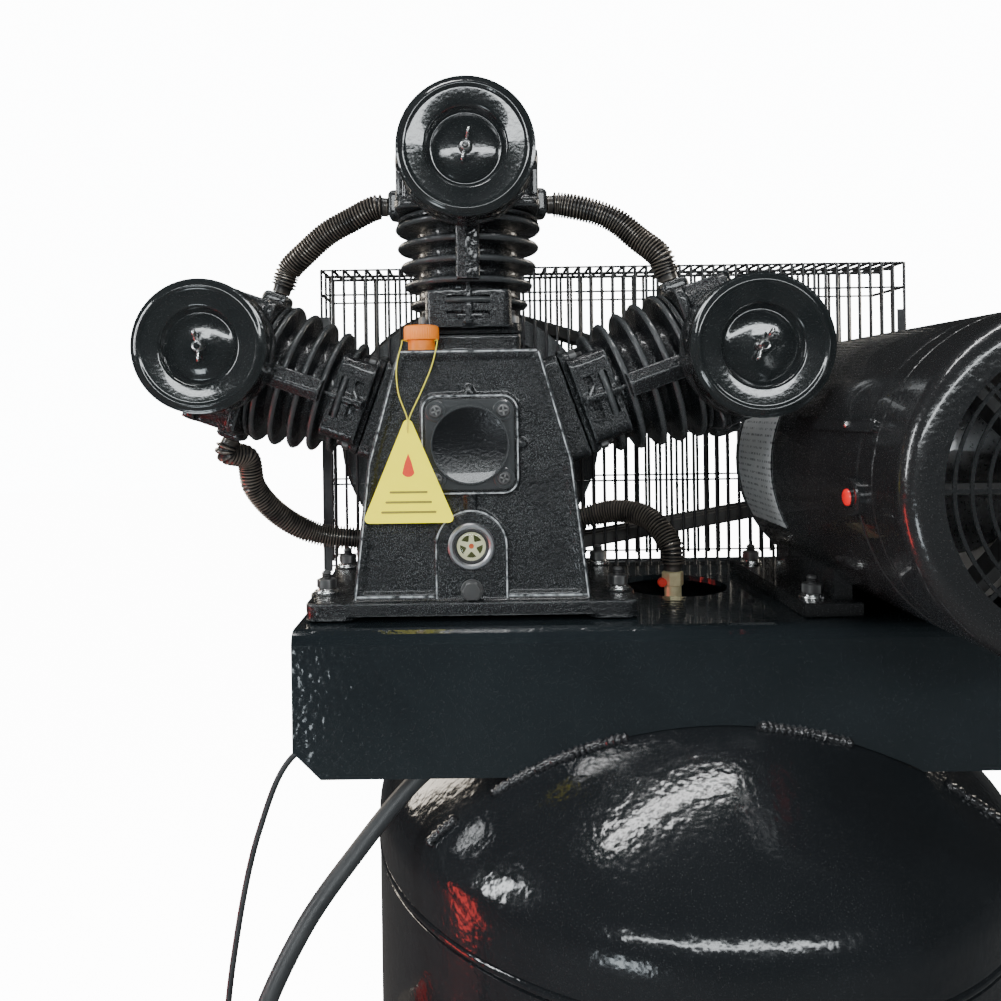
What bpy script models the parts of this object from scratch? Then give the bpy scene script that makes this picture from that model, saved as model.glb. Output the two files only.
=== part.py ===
"""Belt-driven air compressor: a three-cylinder W pump and an electric motor on a vertical tank.

Metres, +Z up. X runs from the pump to the motor and Y from the filters to the belt guard. The model is
laid out about the tank's axis, and the last lines move it so that the middle of its footprint is the
origin and the floor is Z = 0.
"""

import math

import bmesh
import bpy
from mathutils import Matrix, Vector

# ---- driving dimensions -------------------------------------------------------------------------

GAP = 0.0003  # between two pieces that touch
RUNNING = 0.0005  # around a piece that turns or slides

TANK_R = 0.325
TANK_WALL = 0.005
TANK_STRAIGHT = 0.720
CROWN_R = 1.3231 * TANK_R
KNUCKLE_R = 0.18462 * TANK_R
TANK_CLEAR = 0.090  # floor to the lowest point of the lower head
DRAIN_R = 0.012
SKIRT_R = TANK_R - 0.029
SKIRT_WALL = 0.006
FOOT_R = TANK_R + 0.027
FOOT_BOLT_R = FOOT_R - 0.016

PLATFORM_OVER_TANK = 0.052
PLATFORM_HALF_Y = TANK_R - 0.150
PLATE = 0.006
FLANGE = 0.132
BEND_R = 0.012
CHAMFER = 0.025
HOLE_R = 0.0575

PUMP_X = -0.220  # crank axis
WHEEL_R = 0.155
CRANK_H = WHEEL_R + 0.009  # above the platform
CASE_FRONT = -0.135
CASE_BACK = 0.050
CASE_WALL = 0.010
CASE_CROWN = 0.0895  # above the crank axis
FOOT_HALF_X = 0.1575
FOOT_FRONT = -0.147
FOOT_BACK = 0.078
FOOT_T = 0.018
BANK_DEG = 19.5  # the side cylinders, above the horizontal
ROD_PITCH = 0.028  # along the crank pin
MIDDLE_Y = -0.035  # the upright cylinder's axis
PAD_R = 0.108  # crank axis to cylinder foot
BORE_R = 0.045
PAD_HALF_X = BORE_R + 0.007
PAD_HALF_Y = BORE_R + 0.005
BARREL_WALL = 0.006
BARREL_L = 0.123
FIN_T = 0.007
FINS = ((0.034, 0.017), (0.054, 0.022), (0.074, 0.026), (0.094, 0.029), (0.114, 0.031))  # height, reach
HEAD_HALF_X = BORE_R + 0.028
HEAD_HALF_Y = BORE_R + 0.023
HEAD_H = 0.060
PORT_REACH = HEAD_HALF_X + 0.011
PORT_H = 0.017  # above the barrel's top

THROW = 0.024
ROD_L = 0.178
PIN_R = 0.015
ROD_T = 0.022
SMALL_EYE_R = 0.014
JOURNAL_R = 0.0175
WEB_R = 0.047
WEB_T = 0.012
FRONT_RACE_R = 0.031
BACK_RACE_R = 0.036
FILLER_R = 0.0125

FILTER_R = 0.065
FILTER_D = 0.060
FILTER_H = 0.042  # filter centre above the barrel's top
FILTER_ASIDE = 0.0055  # filter centre beside a slanted cylinder's axis
FILTER_STEP = HEAD_HALF_Y - 0.0005  # head axis to the back of the filter
FILTER_CLEAR = 0.0136  # from the right filter to the motor

PULLEY_R = 0.057
WHEEL_W = 0.065
WHEEL_Y = 0.1275  # middle of the belt run
BELTS = 3
BELT_PITCH = 0.019
GROOVE_DEPTH = 0.0105
GROOVE_TOP = 0.0085  # half widths
GROOVE_ROOT = 0.0052

MOTOR_R = 0.132
SHAFT_H = MOTOR_R + 0.004  # motor shaft above the platform
MOTOR_WALL = 0.006
MOTOR_NEAR = -0.300
MOTOR_FAR = 0.021
SHIELD_D = 0.054
COWL_D = 0.048
MOTOR_FOOT_X = MOTOR_R - 0.007
MOTOR_FOOT_NEAR = -0.152
MOTOR_FOOT_FAR = 0.078
MOTOR_FOOT_T = 0.014
SHAFT_R = 0.019
STATOR_R = MOTOR_R - 0.014
ROTOR_R = MOTOR_R - 0.058

GUARD_LEFT = PUMP_X - WHEEL_R - 0.024
GUARD_FRONT = 0.085
GUARD_BACK = 0.172
GUARD_TOP = CRANK_H + WHEEL_R + 0.048
GUARD_FOOT = 0.004
GUARD_BAR = 0.004
GUARD_WIRE = 0.003

TUBE_R = 0.0135
ROUTE_R = 0.325  # the tank radius that the cable's and the thin tube's routes are laid out for
CABLE_R = 0.008
PIPE_R = 0.003

MANIFOLD_DEG = 200.0  # about the tank, from +X
MANIFOLD_DROP = 0.520  # below the platform
BLOCK = 0.025  # half the side of the manifold block
SWITCH_HALF_X = 0.045
SWITCH_H = 0.090
SWITCH_D = 0.080
SWITCH_BACK = TANK_R + 0.020  # tank axis to the switch's back
BUTTON_R = 0.007
BUTTON_DROP = 0.011  # below the motor's axis
BOX_LEAN = 55  # degrees from upright to the cable box, on the side away from the pump
BOX_H = 0.037

# ---- derived places -----------------------------------------------------------------------------

KNUCKLE_IN = TANK_R - KNUCKLE_R
CROWN_IN = CROWN_R - KNUCKLE_R
HEAD_RISE = CROWN_R - math.sqrt(CROWN_IN**2 - KNUCKLE_IN**2)
TANK_LOW = TANK_CLEAR + HEAD_RISE
TANK_HIGH = TANK_LOW + TANK_STRAIGHT
TANK_APEX = TANK_HIGH + HEAD_RISE
DECK = TANK_APEX + PLATFORM_OVER_TANK
CRANK_Z = DECK + CRANK_H
SHAFT_Z = DECK + SHAFT_H
FILTER_RISE = math.sin(math.radians(BANK_DEG)) * (PAD_R + BARREL_L + FILTER_H)
FILTER_OUT = math.cos(math.radians(BANK_DEG)) * (PAD_R + BARREL_L + FILTER_H)
MOTOR_REACH = MOTOR_R + FILTER_R + FILTER_CLEAR
MOTOR_ASIDE = math.sqrt(MOTOR_REACH**2 - (CRANK_H + FILTER_RISE - SHAFT_H) ** 2)
MOTOR_X = round(PUMP_X + FILTER_OUT + MOTOR_ASIDE, 3)
PLATFORM_HALF_X = MOTOR_X + 0.171
GUARD_RIGHT = MOTOR_X + 0.093
RIDE = GAP  # lift of what stands on the platform

# ---- scene --------------------------------------------------------------------------------------

for old in list(bpy.data.objects):
    bpy.data.objects.remove(old)

parts = bpy.data.collections.new("air_compressor")
guides = bpy.data.collections.new("cutters")
bpy.context.scene.collection.children.link(parts)
bpy.context.scene.collection.children.link(guides)
root = bpy.data.objects.new("compressor_origin", None)
parts.objects.link(root)


def finish_of(name, color, roughness, metallic=0.0):
    material = bpy.data.materials.new(name)
    material.use_nodes = True
    shader = material.node_tree.nodes["Principled BSDF"]
    shader.inputs["Base Color"].default_value = (*color, 1)
    shader.inputs["Roughness"].default_value = roughness
    shader.inputs["Metallic"].default_value = metallic
    return material


CAST = (0.012, 0.013, 0.014)
PAINT = (0.010, 0.012, 0.014)
STEEL = (0.55, 0.55, 0.56)
RUBBER = (0.02, 0.02, 0.02)
BRASS = (0.78, 0.66, 0.36)


# ---- modelling helpers --------------------------------------------------------------------------


def place(name, mesh, matrix=None, look=None):
    """Link a mesh as a part, or as a hidden guide when it has no look."""
    piece = bpy.data.objects.new(name, mesh)
    (parts if look else guides).objects.link(piece)
    piece.parent = root
    piece.matrix_world = matrix or Matrix()
    if look:
        mesh.materials.append(finish_of(name, *look))
    else:
        piece.hide_render = True
        piece.display_type = "WIRE"
    return piece


def block_mesh(low, high):
    low = Vector(low)
    high = Vector(high)
    shape = bmesh.new()
    bmesh.ops.create_cube(shape, size=1)
    bmesh.ops.scale(shape, vec=high - low, verts=shape.verts)
    bmesh.ops.translate(shape, vec=(low + high) / 2, verts=shape.verts)
    mesh = bpy.data.meshes.new("block")
    shape.to_mesh(mesh)
    shape.free()
    return mesh


def rod_mesh(radius, low, high, sides=24, top_radius=None, centre=(0, 0)):
    """A round bar along Z from low to high."""
    shape = bmesh.new()
    end = radius if top_radius is None else top_radius
    bmesh.ops.create_cone(
        shape, cap_ends=True, segments=sides, radius1=radius, radius2=end, depth=high - low
    )
    bmesh.ops.translate(shape, vec=(*centre, (low + high) / 2), verts=shape.verts)
    mesh = bpy.data.meshes.new("rod")
    shape.to_mesh(mesh)
    shape.free()
    smooth(mesh)
    return mesh


def bore_mesh(radius, low, high, sides=24, centre=(0, 0)):
    """A cutter whose flats, not its corners, lie at the radius."""
    return rod_mesh(radius / math.cos(math.pi / sides), low, high, sides, centre=centre)


def smooth(mesh):
    mesh.shade_smooth()
    mesh.set_sharp_from_angle(angle=math.radians(35))


def turned(name, profile, matrix, look, steps=32):
    """Turn a profile of (radius, height) about Z; it runs down the outer side."""
    closed = profile[0][0] > 0 and profile[-1][0] > 0
    count = len(profile)
    edges = [(i, i + 1) for i in range(count - 1)]
    if closed:
        edges.append((count - 1, 0))
    mesh = bpy.data.meshes.new("profile")
    mesh.from_pydata([(r, 0, z) for r, z in profile], edges, [])
    piece = place(name, mesh, matrix, look)
    screw = piece.modifiers.new("turn", "SCREW")
    screw.steps = steps
    screw.render_steps = steps
    screw.use_merge_vertices = True
    screw.merge_threshold = 0.00001
    return piece


def meshed(curve):
    """The evaluated mesh of a curve, with its caps welded on."""
    holder = bpy.data.objects.new("outline", curve)
    bpy.context.scene.collection.objects.link(holder)
    graph = bpy.context.evaluated_depsgraph_get()
    mesh = bpy.data.meshes.new_from_object(holder.evaluated_get(graph))
    bpy.data.objects.remove(holder)
    shape = bmesh.new()
    shape.from_mesh(mesh)
    bmesh.ops.remove_doubles(shape, verts=shape.verts, dist=0.00001)
    bmesh.ops.recalc_face_normals(shape, faces=shape.faces)
    shape.to_mesh(mesh)
    shape.free()
    return mesh


def outline_mesh(loops, low, high):
    """Closed outlines in XY, later ones being holes, as a plate from low to high."""
    curve = bpy.data.curves.new("outline", "CURVE")
    curve.dimensions = "2D"
    curve.fill_mode = "BOTH"
    curve.extrude = (high - low) / 2
    for loop in loops:
        spline = curve.splines.new("POLY")
        spline.points.add(len(loop) - 1)
        for point, (x, y) in zip(spline.points, loop):
            point.co = (x, y, 0, 1)
        spline.use_cyclic_u = True
    mesh = meshed(curve)
    mesh.transform(Matrix.Translation((0, 0, (low + high) / 2)))
    return mesh


def tube_mesh(points, radius, resolution=2):
    curve = bpy.data.curves.new("run", "CURVE")
    curve.dimensions = "3D"
    curve.bevel_depth = radius
    curve.bevel_resolution = resolution
    curve.use_fill_caps = True
    spline = curve.splines.new("POLY")
    spline.points.add(len(points) - 1)
    for point, place_ in zip(spline.points, points):
        point.co = (*place_, 1)
    mesh = meshed(curve)
    smooth(mesh)
    return mesh


def smooth_route(points, step):
    """Points about a step apart on the centripetal curve through a hand-set route."""
    knots = [Vector(p) for p in points]
    knots = [2 * knots[0] - knots[1], *knots, 2 * knots[-1] - knots[-2]]
    route = []
    for a, b, c, d in zip(knots, knots[1:], knots[2:], knots[3:]):
        t1 = (b - a).length ** 0.5
        t2 = t1 + (c - b).length ** 0.5
        t3 = t2 + (d - c).length ** 0.5
        pieces = max(1, round((c - b).length / step))
        for i in range(pieces):
            t = t1 + (t2 - t1) * i / pieces
            p = a.lerp(b, t / t1)
            q = b.lerp(c, (t - t1) / (t2 - t1))
            r = c.lerp(d, (t - t2) / (t3 - t2))
            near = p.lerp(q, t / t2)
            route.append(near.lerp(q.lerp(r, (t - t1) / (t3 - t1)), (t - t1) / (t2 - t1)))
    route.append(knots[-2])
    return route


def combine(piece, operation, *meshes, matrix=None):
    """Boolean modifiers that join to, or cut from, a piece the meshes given in its own frame."""
    for mesh in meshes:
        guide = place(f"{piece.name}_{operation.lower()}", mesh, matrix or piece.matrix_world)
        tool = piece.modifiers.new(guide.name, "BOOLEAN")
        tool.operation = operation
        tool.solver = "EXACT"
        tool.object = guide


def join(piece, *meshes, matrix=None):
    combine(piece, "UNION", *meshes, matrix=matrix)


def cut(piece, *meshes, matrix=None):
    combine(piece, "DIFFERENCE", *meshes, matrix=matrix)


def soften(piece, width, segments=2, angle=40):
    bevel = piece.modifiers.new("soften", "BEVEL")
    bevel.width = width
    bevel.segments = segments
    bevel.limit_method = "ANGLE"
    bevel.angle_limit = math.radians(angle)


def arc(radius, start, end, pieces, centre=(0, 0)):
    """Points of an arc in XY, angles in degrees, both ends in."""
    points = []
    for i in range(pieces + 1):
        angle = math.radians(start + (end - start) * i / pieces)
        points.append((centre[0] + radius * math.cos(angle), centre[1] + radius * math.sin(angle)))
    return points


def rounded_box(half_x, half_y, radius, pieces=3):
    points = []
    for quarter, (sx, sy) in enumerate(((1, 1), (-1, 1), (-1, -1), (1, -1))):
        centre = (sx * (half_x - radius), sy * (half_y - radius))
        points += arc(radius, 90 * quarter, 90 * quarter + 90, pieces, centre)
    return points


# Frames: facing() looks along +Y with X right and Z up as its own X and Y, so depth towards the viewer
# is its own Z; along_y() has its own Z on +Y.
def facing(x, y, z):
    return Matrix.Translation((x, y, z)) @ Matrix.Rotation(math.radians(90), 4, "X")


def along_y(x, y, z):
    return Matrix.Translation((x, y, z)) @ Matrix.Rotation(math.radians(-90), 4, "X")


def frame_of(origin, across, up, out):
    matrix = Matrix((across, up, out)).transposed().to_4x4()
    matrix.translation = origin
    return matrix


# ---- tank ---------------------------------------------------------------------------------------


def head_profile(radius, crown, knuckle, spring_z, sign, crown_steps, knuckle_steps):
    """Dished head from the cylinder's edge to its pole, as (radius, z)."""
    inner = radius - knuckle
    meet = math.degrees(math.asin(inner / (crown - knuckle)))
    points = [(inner + x, spring_z + sign * z) for x, z in arc(knuckle, 0, 90 - meet, knuckle_steps)]
    pole = spring_z + sign * (crown - math.sqrt((crown - knuckle) ** 2 - inner**2))
    for i in range(1, crown_steps + 1):
        angle = math.radians(meet * (1 - i / crown_steps))
        points.append((crown * math.sin(angle), pole - sign * crown * (1 - math.cos(angle))))
    return points


def make_tank():
    outer_top = head_profile(TANK_R, CROWN_R, KNUCKLE_R, TANK_HIGH, 1, 4, 3)
    outer_low = head_profile(TANK_R, CROWN_R, KNUCKLE_R, TANK_LOW, -1, 4, 2)
    inner = TANK_R - TANK_WALL
    inner_top = head_profile(inner, CROWN_R - TANK_WALL, KNUCKLE_R - TANK_WALL, TANK_HIGH, 1, 2, 1)
    inner_low = head_profile(inner, CROWN_R - TANK_WALL, KNUCKLE_R - TANK_WALL, TANK_LOW, -1, 2, 1)
    outer_low[-1] = (DRAIN_R, outer_low[-1][1])
    inner_low[-1] = (DRAIN_R, inner_low[-1][1])
    profile = [*reversed(outer_top), *outer_low, *reversed(inner_low), *inner_top]
    profile[0] = (0, profile[0][1])
    profile[-1] = (0, profile[-1][1])
    turned("tank_shell", profile, Matrix(), (PAINT, 0.22), steps=32)


def lower_head_z(radius):
    return TANK_CLEAR + CROWN_R - math.sqrt(CROWN_R**2 - radius**2)


def make_skirt():
    inner = SKIRT_R - SKIRT_WALL
    top = lower_head_z(inner) - 2 * GAP
    profile = [(SKIRT_R, top), (SKIRT_R, SKIRT_WALL), (FOOT_R, SKIRT_WALL)]
    profile += [(FOOT_R, 0), (inner, 0), (inner, top)]
    skirt = turned("base_skirt", profile, Matrix(), (PAINT, 0.3), steps=28)
    window = rounded_box(0.075, 0.045, 0.03, 2)
    for quarter in range(2):
        turn = Matrix.Rotation(math.radians(90 * quarter), 4, "Z")
        opening = outline_mesh([window], -0.5, 0.5)
        cut(skirt, opening, matrix=turn @ facing(0, 0, 0.105))
    for quarter in range(4):
        angle = math.radians(45 + 90 * quarter)
        centre = (FOOT_BOLT_R * math.cos(angle), FOOT_BOLT_R * math.sin(angle))
        cut(skirt, rod_mesh(0.007, -0.01, 0.03, 8, centre=centre))


# ---- platform -----------------------------------------------------------------------------------


def make_platform():
    """A steel plate with a folded flange front and back, saddled over the upper head."""
    half = PLATFORM_HALF_Y
    low = DECK - FLANGE
    outside = [(-half, low), *arc(BEND_R, 180, 90, 4, (-half + BEND_R, DECK - BEND_R))]
    outside += [*arc(BEND_R, 90, 0, 4, (half - BEND_R, DECK - BEND_R)), (half, low)]
    inner = half - PLATE
    bend = BEND_R - PLATE
    inside = [(inner, low), *arc(bend, 0, 90, 3, (half - BEND_R, DECK - BEND_R))]
    inside += [*arc(bend, 90, 180, 3, (-half + BEND_R, DECK - BEND_R)), (-inner, low)]
    mesh = outline_mesh([outside + inside], -PLATFORM_HALF_X, PLATFORM_HALF_X)
    across = frame_of((0, 0, 0), (0, 1, 0), (0, 0, 1), (1, 0, 0))
    platform = place("platform", mesh, across, (PAINT, 0.15))
    cut(platform, rod_mesh(HOLE_R, DECK - 0.03, DECK + 0.03, 32), matrix=Matrix())
    beyond = 0.010
    outer = PLATFORM_HALF_X + beyond
    inner_x = PLATFORM_HALF_X - CHAMFER - beyond
    for side in (-1, 1):
        corner = [(side * inner_x, low - beyond), (side * outer, low - beyond)]
        corner.append((side * outer, low + CHAMFER + beyond))
        cut(platform, outline_mesh([corner], -2 * half, 2 * half), matrix=facing(0, 0, 0))
    fit = 0.0015
    head = head_profile(TANK_R + fit, CROWN_R + fit, KNUCKLE_R + fit, TANK_HIGH, 1, 8, 4)
    head = [*reversed(head), (TANK_R + fit, TANK_HIGH - 0.2), (0, TANK_HIGH - 0.2)]
    head[0] = (0, head[0][1])
    dome = turned("platform_saddle", head, Matrix(), None, steps=64)
    saddle = platform.modifiers.new("saddle", "BOOLEAN")
    saddle.operation = "DIFFERENCE"
    saddle.solver = "EXACT"
    saddle.object = dome


# ---- pump ---------------------------------------------------------------------------------------

BANKS = {
    "left": (180 - BANK_DEG, MIDDLE_Y + ROD_PITCH),
    "top": (90.0, MIDDLE_Y),
    "right": (BANK_DEG, MIDDLE_Y - ROD_PITCH),
}


def bank_frame(name, radius=0.0):
    """Own Z out along a cylinder's axis, own Y to the back, at a radius from the crank axis."""
    angle, y = BANKS[name]
    out = Vector((math.cos(math.radians(angle)), 0, math.sin(math.radians(angle))))
    back = Vector((0, 1, 0))
    origin = Vector((PUMP_X, y, CRANK_Z)) + out * radius
    return frame_of(origin, back.cross(out), back, out)


def make_crankcase():
    foot_top = FOOT_T - CRANK_H
    shoulder = -0.017
    crown = CASE_CROWN
    half = ((foot_top, 0.1123), (shoulder, 0.0968), (crown, 0.0667))
    outline = [(w, h) for h, w in half] + [(-w, h) for h, w in reversed(half)]
    inside = [(w - CASE_WALL, min(h, crown - CASE_WALL)) for h, w in half]
    inside[0] = (inside[0][0], foot_top + 0.004)
    inside += [(-w, h) for w, h in reversed(inside)]
    upright = facing(PUMP_X, 0, CRANK_Z)
    case = place("crankcase", outline_mesh([outline], -CASE_BACK, -CASE_FRONT), upright, (CAST, 0.32))
    low = -CRANK_H + RIDE
    foot = block_mesh((-FOOT_HALF_X, low, -FOOT_BACK), (FOOT_HALF_X, foot_top + 0.001, -FOOT_FRONT))
    join(case, foot)
    for bank in BANKS:
        pad = block_mesh((-PAD_HALF_X, -PAD_HALF_Y, 0.055), (PAD_HALF_X, PAD_HALF_Y, PAD_R))
        join(case, pad, matrix=bank_frame(bank))
    cavity = outline_mesh([inside], -CASE_BACK + CASE_WALL, -CASE_FRONT - CASE_WALL)
    cut(case, cavity)
    for bank in BANKS:
        cut(case, bore_mesh(BORE_R, 0.045, PAD_R + 0.02, 32), matrix=bank_frame(bank))
    cut(case, bore_mesh(FRONT_RACE_R, 0.10, 0.16), bore_mesh(BACK_RACE_R, -0.07, -0.02))
    relief = block_mesh((-0.105, low - 0.01, -0.2), (0.105, low + 0.004, 0.2))
    cut(case, relief)
    filler = bore_mesh(FILLER_R, 0.060, 0.12, 16)
    cut(case, filler, matrix=Matrix.Translation((PUMP_X - 0.046, MIDDLE_Y - PAD_HALF_Y - 0.023, CRANK_Z)))


def make_cylinder(bank):
    steps = 18
    bore = BORE_R / math.cos(math.pi / steps)
    barrel = BORE_R + BARREL_WALL
    top_fin = FINS[-1][0]
    top_radius = BORE_R + FINS[-1][1]
    profile = [(top_radius, BARREL_L), (top_radius, top_fin - FIN_T / 2), (barrel, top_fin - FIN_T / 2)]
    for height, fin_reach in reversed(FINS[:-1]):
        radius = BORE_R + fin_reach
        low = height - FIN_T / 2
        high = height + FIN_T / 2
        profile += [(barrel, high), (radius, high), (radius, low), (barrel, low)]
    profile += [(barrel, GAP), (bore, GAP), (bore, BARREL_L)]
    barrel_piece = turned(f"cylinder_{bank}", profile, bank_frame(bank, PAD_R), (CAST, 0.35), steps)
    opening = arc(BORE_R + 0.003, 0, 340, 17)
    join(barrel_piece, outline_mesh([rounded_box(PAD_HALF_X, PAD_HALF_Y, 0.008, 1), opening], GAP, 0.010))


def make_piston(bank):
    crown = BARREL_L - 0.003
    skirt = crown - 0.062
    outer = BORE_R - GAP
    inner = BORE_R - 0.0045
    under = crown - 0.008
    profile = [(0, crown), (outer, crown), (outer, skirt), (inner, skirt), (inner, under), (0, under)]
    turned(f"piston_{bank}", profile, bank_frame(bank, PAD_R), ((0.6, 0.6, 0.6), 0.4, 1.0), steps=22)


def make_rod(bank):
    """Connecting rod on the crank pin, which stands straight above the crank axis at rest."""
    _, y = BANKS[bank]
    rod_frame = bank_frame(bank)
    rod_frame.translation = Vector((PUMP_X, y, CRANK_Z + THROW))
    big = 0.026
    waist = 0.009
    side = math.degrees(math.asin(waist / big))
    tip = math.degrees(math.asin(waist / SMALL_EYE_R))
    outline = arc(big, 90 + side, 450 - side, 20)
    outline += arc(SMALL_EYE_R, -90 + tip, 270 - tip, 12, (0, ROD_L))
    eyes = [arc(PIN_R + RUNNING, 0, 342, 19), arc(SMALL_EYE_R / 2, 0, 330, 11, (0, ROD_L))]
    turn = rod_frame @ Matrix.Rotation(math.radians(90), 4, "X")
    rod = outline_mesh([outline, *eyes], -ROD_T / 2, ROD_T / 2)
    place(f"connecting_rod_{bank}", rod, turn, (STEEL, 0.4, 1.0))


def make_head(bank):
    top = bank_frame(bank, PAD_R + BARREL_L)
    shape = outline_mesh([rounded_box(HEAD_HALF_X, HEAD_HALF_Y, 0.012)], GAP, HEAD_H)
    head = place(f"cylinder_head_{bank}", shape, top, (CAST, 0.33))
    across = top @ Matrix.Rotation(math.radians(90), 4, "Y")
    for side in (-1, 1):
        reach = sorted((side * (HEAD_HALF_X - 0.004), side * PORT_REACH))
        join(head, block_mesh((reach[0], -0.016, 0.003), (reach[1], 0.016, 0.033)))
        bore = sorted((side * (HEAD_HALF_X - 0.02), side * (PORT_REACH + 0.01)))
        port = rod_mesh(0.008, bore[0], bore[1], 12, centre=(-PORT_H, 0))
        cut(head, port, matrix=across)
    for side in (-1, 1):
        chamber = sorted((side * 0.004, side * (HEAD_HALF_X - 0.010)))
        cut(head, block_mesh((chamber[0], -0.050, -0.01), (chamber[1], 0.050, HEAD_H - 0.012)))
    intake = rod_mesh(0.012, HEAD_HALF_Y - 0.03, HEAD_HALF_Y + 0.01, 16, centre=(0.02, FILTER_H))
    cut(head, intake, matrix=top @ Matrix.Rotation(math.radians(90), 4, "X"))


def filter_frame(bank):
    """Own Z towards the viewer, own Y up, its zero on the back of the filter."""
    aside = 0.0 if bank == "top" else FILTER_ASIDE
    spot = bank_frame(bank, PAD_R + BARREL_L + FILTER_H) @ Vector((aside, 0, 0))
    return facing(spot.x, spot.y - FILTER_STEP, spot.z)


def make_filter(bank):
    spot = filter_frame(bank)
    neck = HEAD_HALF_Y - FILTER_STEP + GAP
    low = 0.008
    rim = 0.014
    profile = [
        (0, FILTER_D + 0.004),
        (0.003, FILTER_D + 0.004),
        (0.003, low + 0.003),
        (FILTER_R - 0.0025, low + 0.003),
        (FILTER_R - 0.0025, low),
        (0.024, low),
        (0.024, neck),
        (0, neck),
    ]
    turned(f"filter_base_{bank}", profile, spot, (PAINT, 0.25), steps=24)
    face = FILTER_D
    skin = 0.0015
    cover = [
        (0.0036, face - 0.006),
        (0.017, face - 0.006),
        (0.020, face - 0.010),
        (0.034, face - 0.010),
        (0.038, face - 0.001),
        (FILTER_R - 0.003, face),
        (FILTER_R, face - 0.003),
        (FILTER_R, rim),
    ]
    back = [(FILTER_R - skin, rim), (FILTER_R - skin, face - 0.0035), (0.038, face - skin - 0.001)]
    back += [(0.034, face - skin - 0.010), (0.0036, face - skin - 0.010)]
    turned(f"filter_cover_{bank}", cover + back, spot, (PAINT, 0.12), steps=26)
    wing_low = face - 0.006 + GAP
    wing = rod_mesh(0.0068, wing_low, wing_low + 0.008, 16)
    nut = place(f"wing_nut_{bank}", wing, spot, (STEEL, 0.3, 1.0))
    for side in (-1, 1):
        blade = [(side * 0.004, 0.001), (side * 0.006, 0.001), (side * 0.0165, 0.010)]
        blade += [(side * 0.0145, 0.0135), (side * 0.004, 0.0075)]
        upright = spot @ Matrix.Translation((0, 0, wing_low)) @ Matrix.Rotation(math.radians(90), 4, "X")
        join(nut, outline_mesh([blade], -0.0014, 0.0014), matrix=upright)
    cut(nut, rod_mesh(0.003 + RUNNING, wing_low - 0.01, wing_low + 0.03, 12))


def make_crankshaft():
    """Overhung pin between two webs, with the pin at the top of its circle."""
    frame = along_y(PUMP_X, 0, CRANK_Z)
    half_run = ROD_PITCH + ROD_T / 2 + 0.004
    front_web = MIDDLE_Y - half_run
    back_web = MIDDLE_Y + half_run
    journal = rod_mesh(JOURNAL_R, back_web + WEB_T / 2, WHEEL_Y + WHEEL_W / 2)
    shaft = place("crankshaft", journal, frame, (STEEL, 0.3, 1.0))
    join(shaft, rod_mesh(WEB_R, back_web, back_web + WEB_T, 28))
    join(shaft, rod_mesh(PIN_R, front_web - WEB_T / 2, back_web + WEB_T / 2, 20, centre=(0, -THROW)))
    join(shaft, rod_mesh(WEB_R, front_web - WEB_T, front_web, 28))
    join(shaft, rod_mesh(JOURNAL_R, CASE_FRONT + 0.004, front_web - WEB_T / 2))


def make_bearing(name, outer, y_low, y_high):
    inner = JOURNAL_R + RUNNING
    mid_out = inner + (outer - inner) * 0.62
    mid_in = inner + (outer - inner) * 0.38
    lip = 0.0015
    profile = [
        (outer, y_high),
        (outer, y_low),
        (mid_out, y_low),
        (mid_out, y_low + lip),
        (mid_in, y_low + lip),
        (mid_in, y_low),
        (inner, y_low),
        (inner, y_high),
    ]
    turned(name, profile, along_y(PUMP_X, 0, CRANK_Z), (STEEL, 0.25, 1.0), steps=16)


def make_case_fittings():
    face = CASE_FRONT - GAP
    upright = facing(PUMP_X, face, CRANK_Z)
    plate = outline_mesh([rounded_box(0.042, 0.043, 0.012)], 0, 0.009)
    cover = place("bearing_cover", plate, upright, (CAST, 0.3))
    join(cover, rod_mesh(0.0368, 0.005, 0.014, 32))
    for x in (-0.0314, 0.0314):
        for z in (-0.0314, 0.0314):
            join(cover, rod_mesh(0.0055, 0.004, 0.013, 6, centre=(x, z)))
    sight = facing(PUMP_X, face, CRANK_Z - 0.095)
    profile = [(0, 0.004), (0.0135, 0.004), (0.0160, 0.0065), (0.0175, 0.009), (0.0205, 0.009)]
    profile += [(0.022, 0.007), (0.022, 0), (0, 0)]
    turned("sight_glass", profile, sight, ((0.8, 0.78, 0.5), 0.15), steps=20)
    cap = Matrix.Translation((PUMP_X - 0.046, MIDDLE_Y - PAD_HALF_Y - 0.023, CRANK_Z))
    top = CASE_CROWN
    plug = FILLER_R - 2 * RUNNING
    profile = [(0, top + 0.025), (0.0155, top + 0.025), (0.0175, top + 0.023), (0.0175, top + 0.011)]
    profile += [(0.0135, top + 0.010), (0.0135, top + GAP), (plug, top + GAP)]
    profile += [(plug, top - 0.012), (0, top - 0.012)]
    turned("oil_filler_cap", profile, cap, ((0.9, 0.27, 0.03), 0.4), steps=24)


def make_tag():
    """Three-cornered plate with round corners that hangs from the filler cap's loop."""
    corners = ((0.0, 0.0475), (-0.041, -0.0475), (0.041, -0.0475))
    outline = []
    for i, (x, z) in enumerate(corners):
        start = (30, 150, 270)[i]
        outline += arc(0.004, start, start + 120, 4, (x * 0.9, z * 0.92))
    hole = arc(0.002, 0, 315, 7, (0.0, 0.033))
    plate = outline_mesh([outline, hole], 0, 0.001)
    spot = facing(PUMP_X - 0.057, CASE_FRONT - 0.0148, CRANK_Z - 0.0235)
    place("oil_tag", plate, spot, ((0.95, 0.82, 0.02), 0.35))


# ---- air pipes ----------------------------------------------------------------------------------


def pump_point(x, y, z):
    return Vector((PUMP_X + x, y, CRANK_Z + z))


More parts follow.
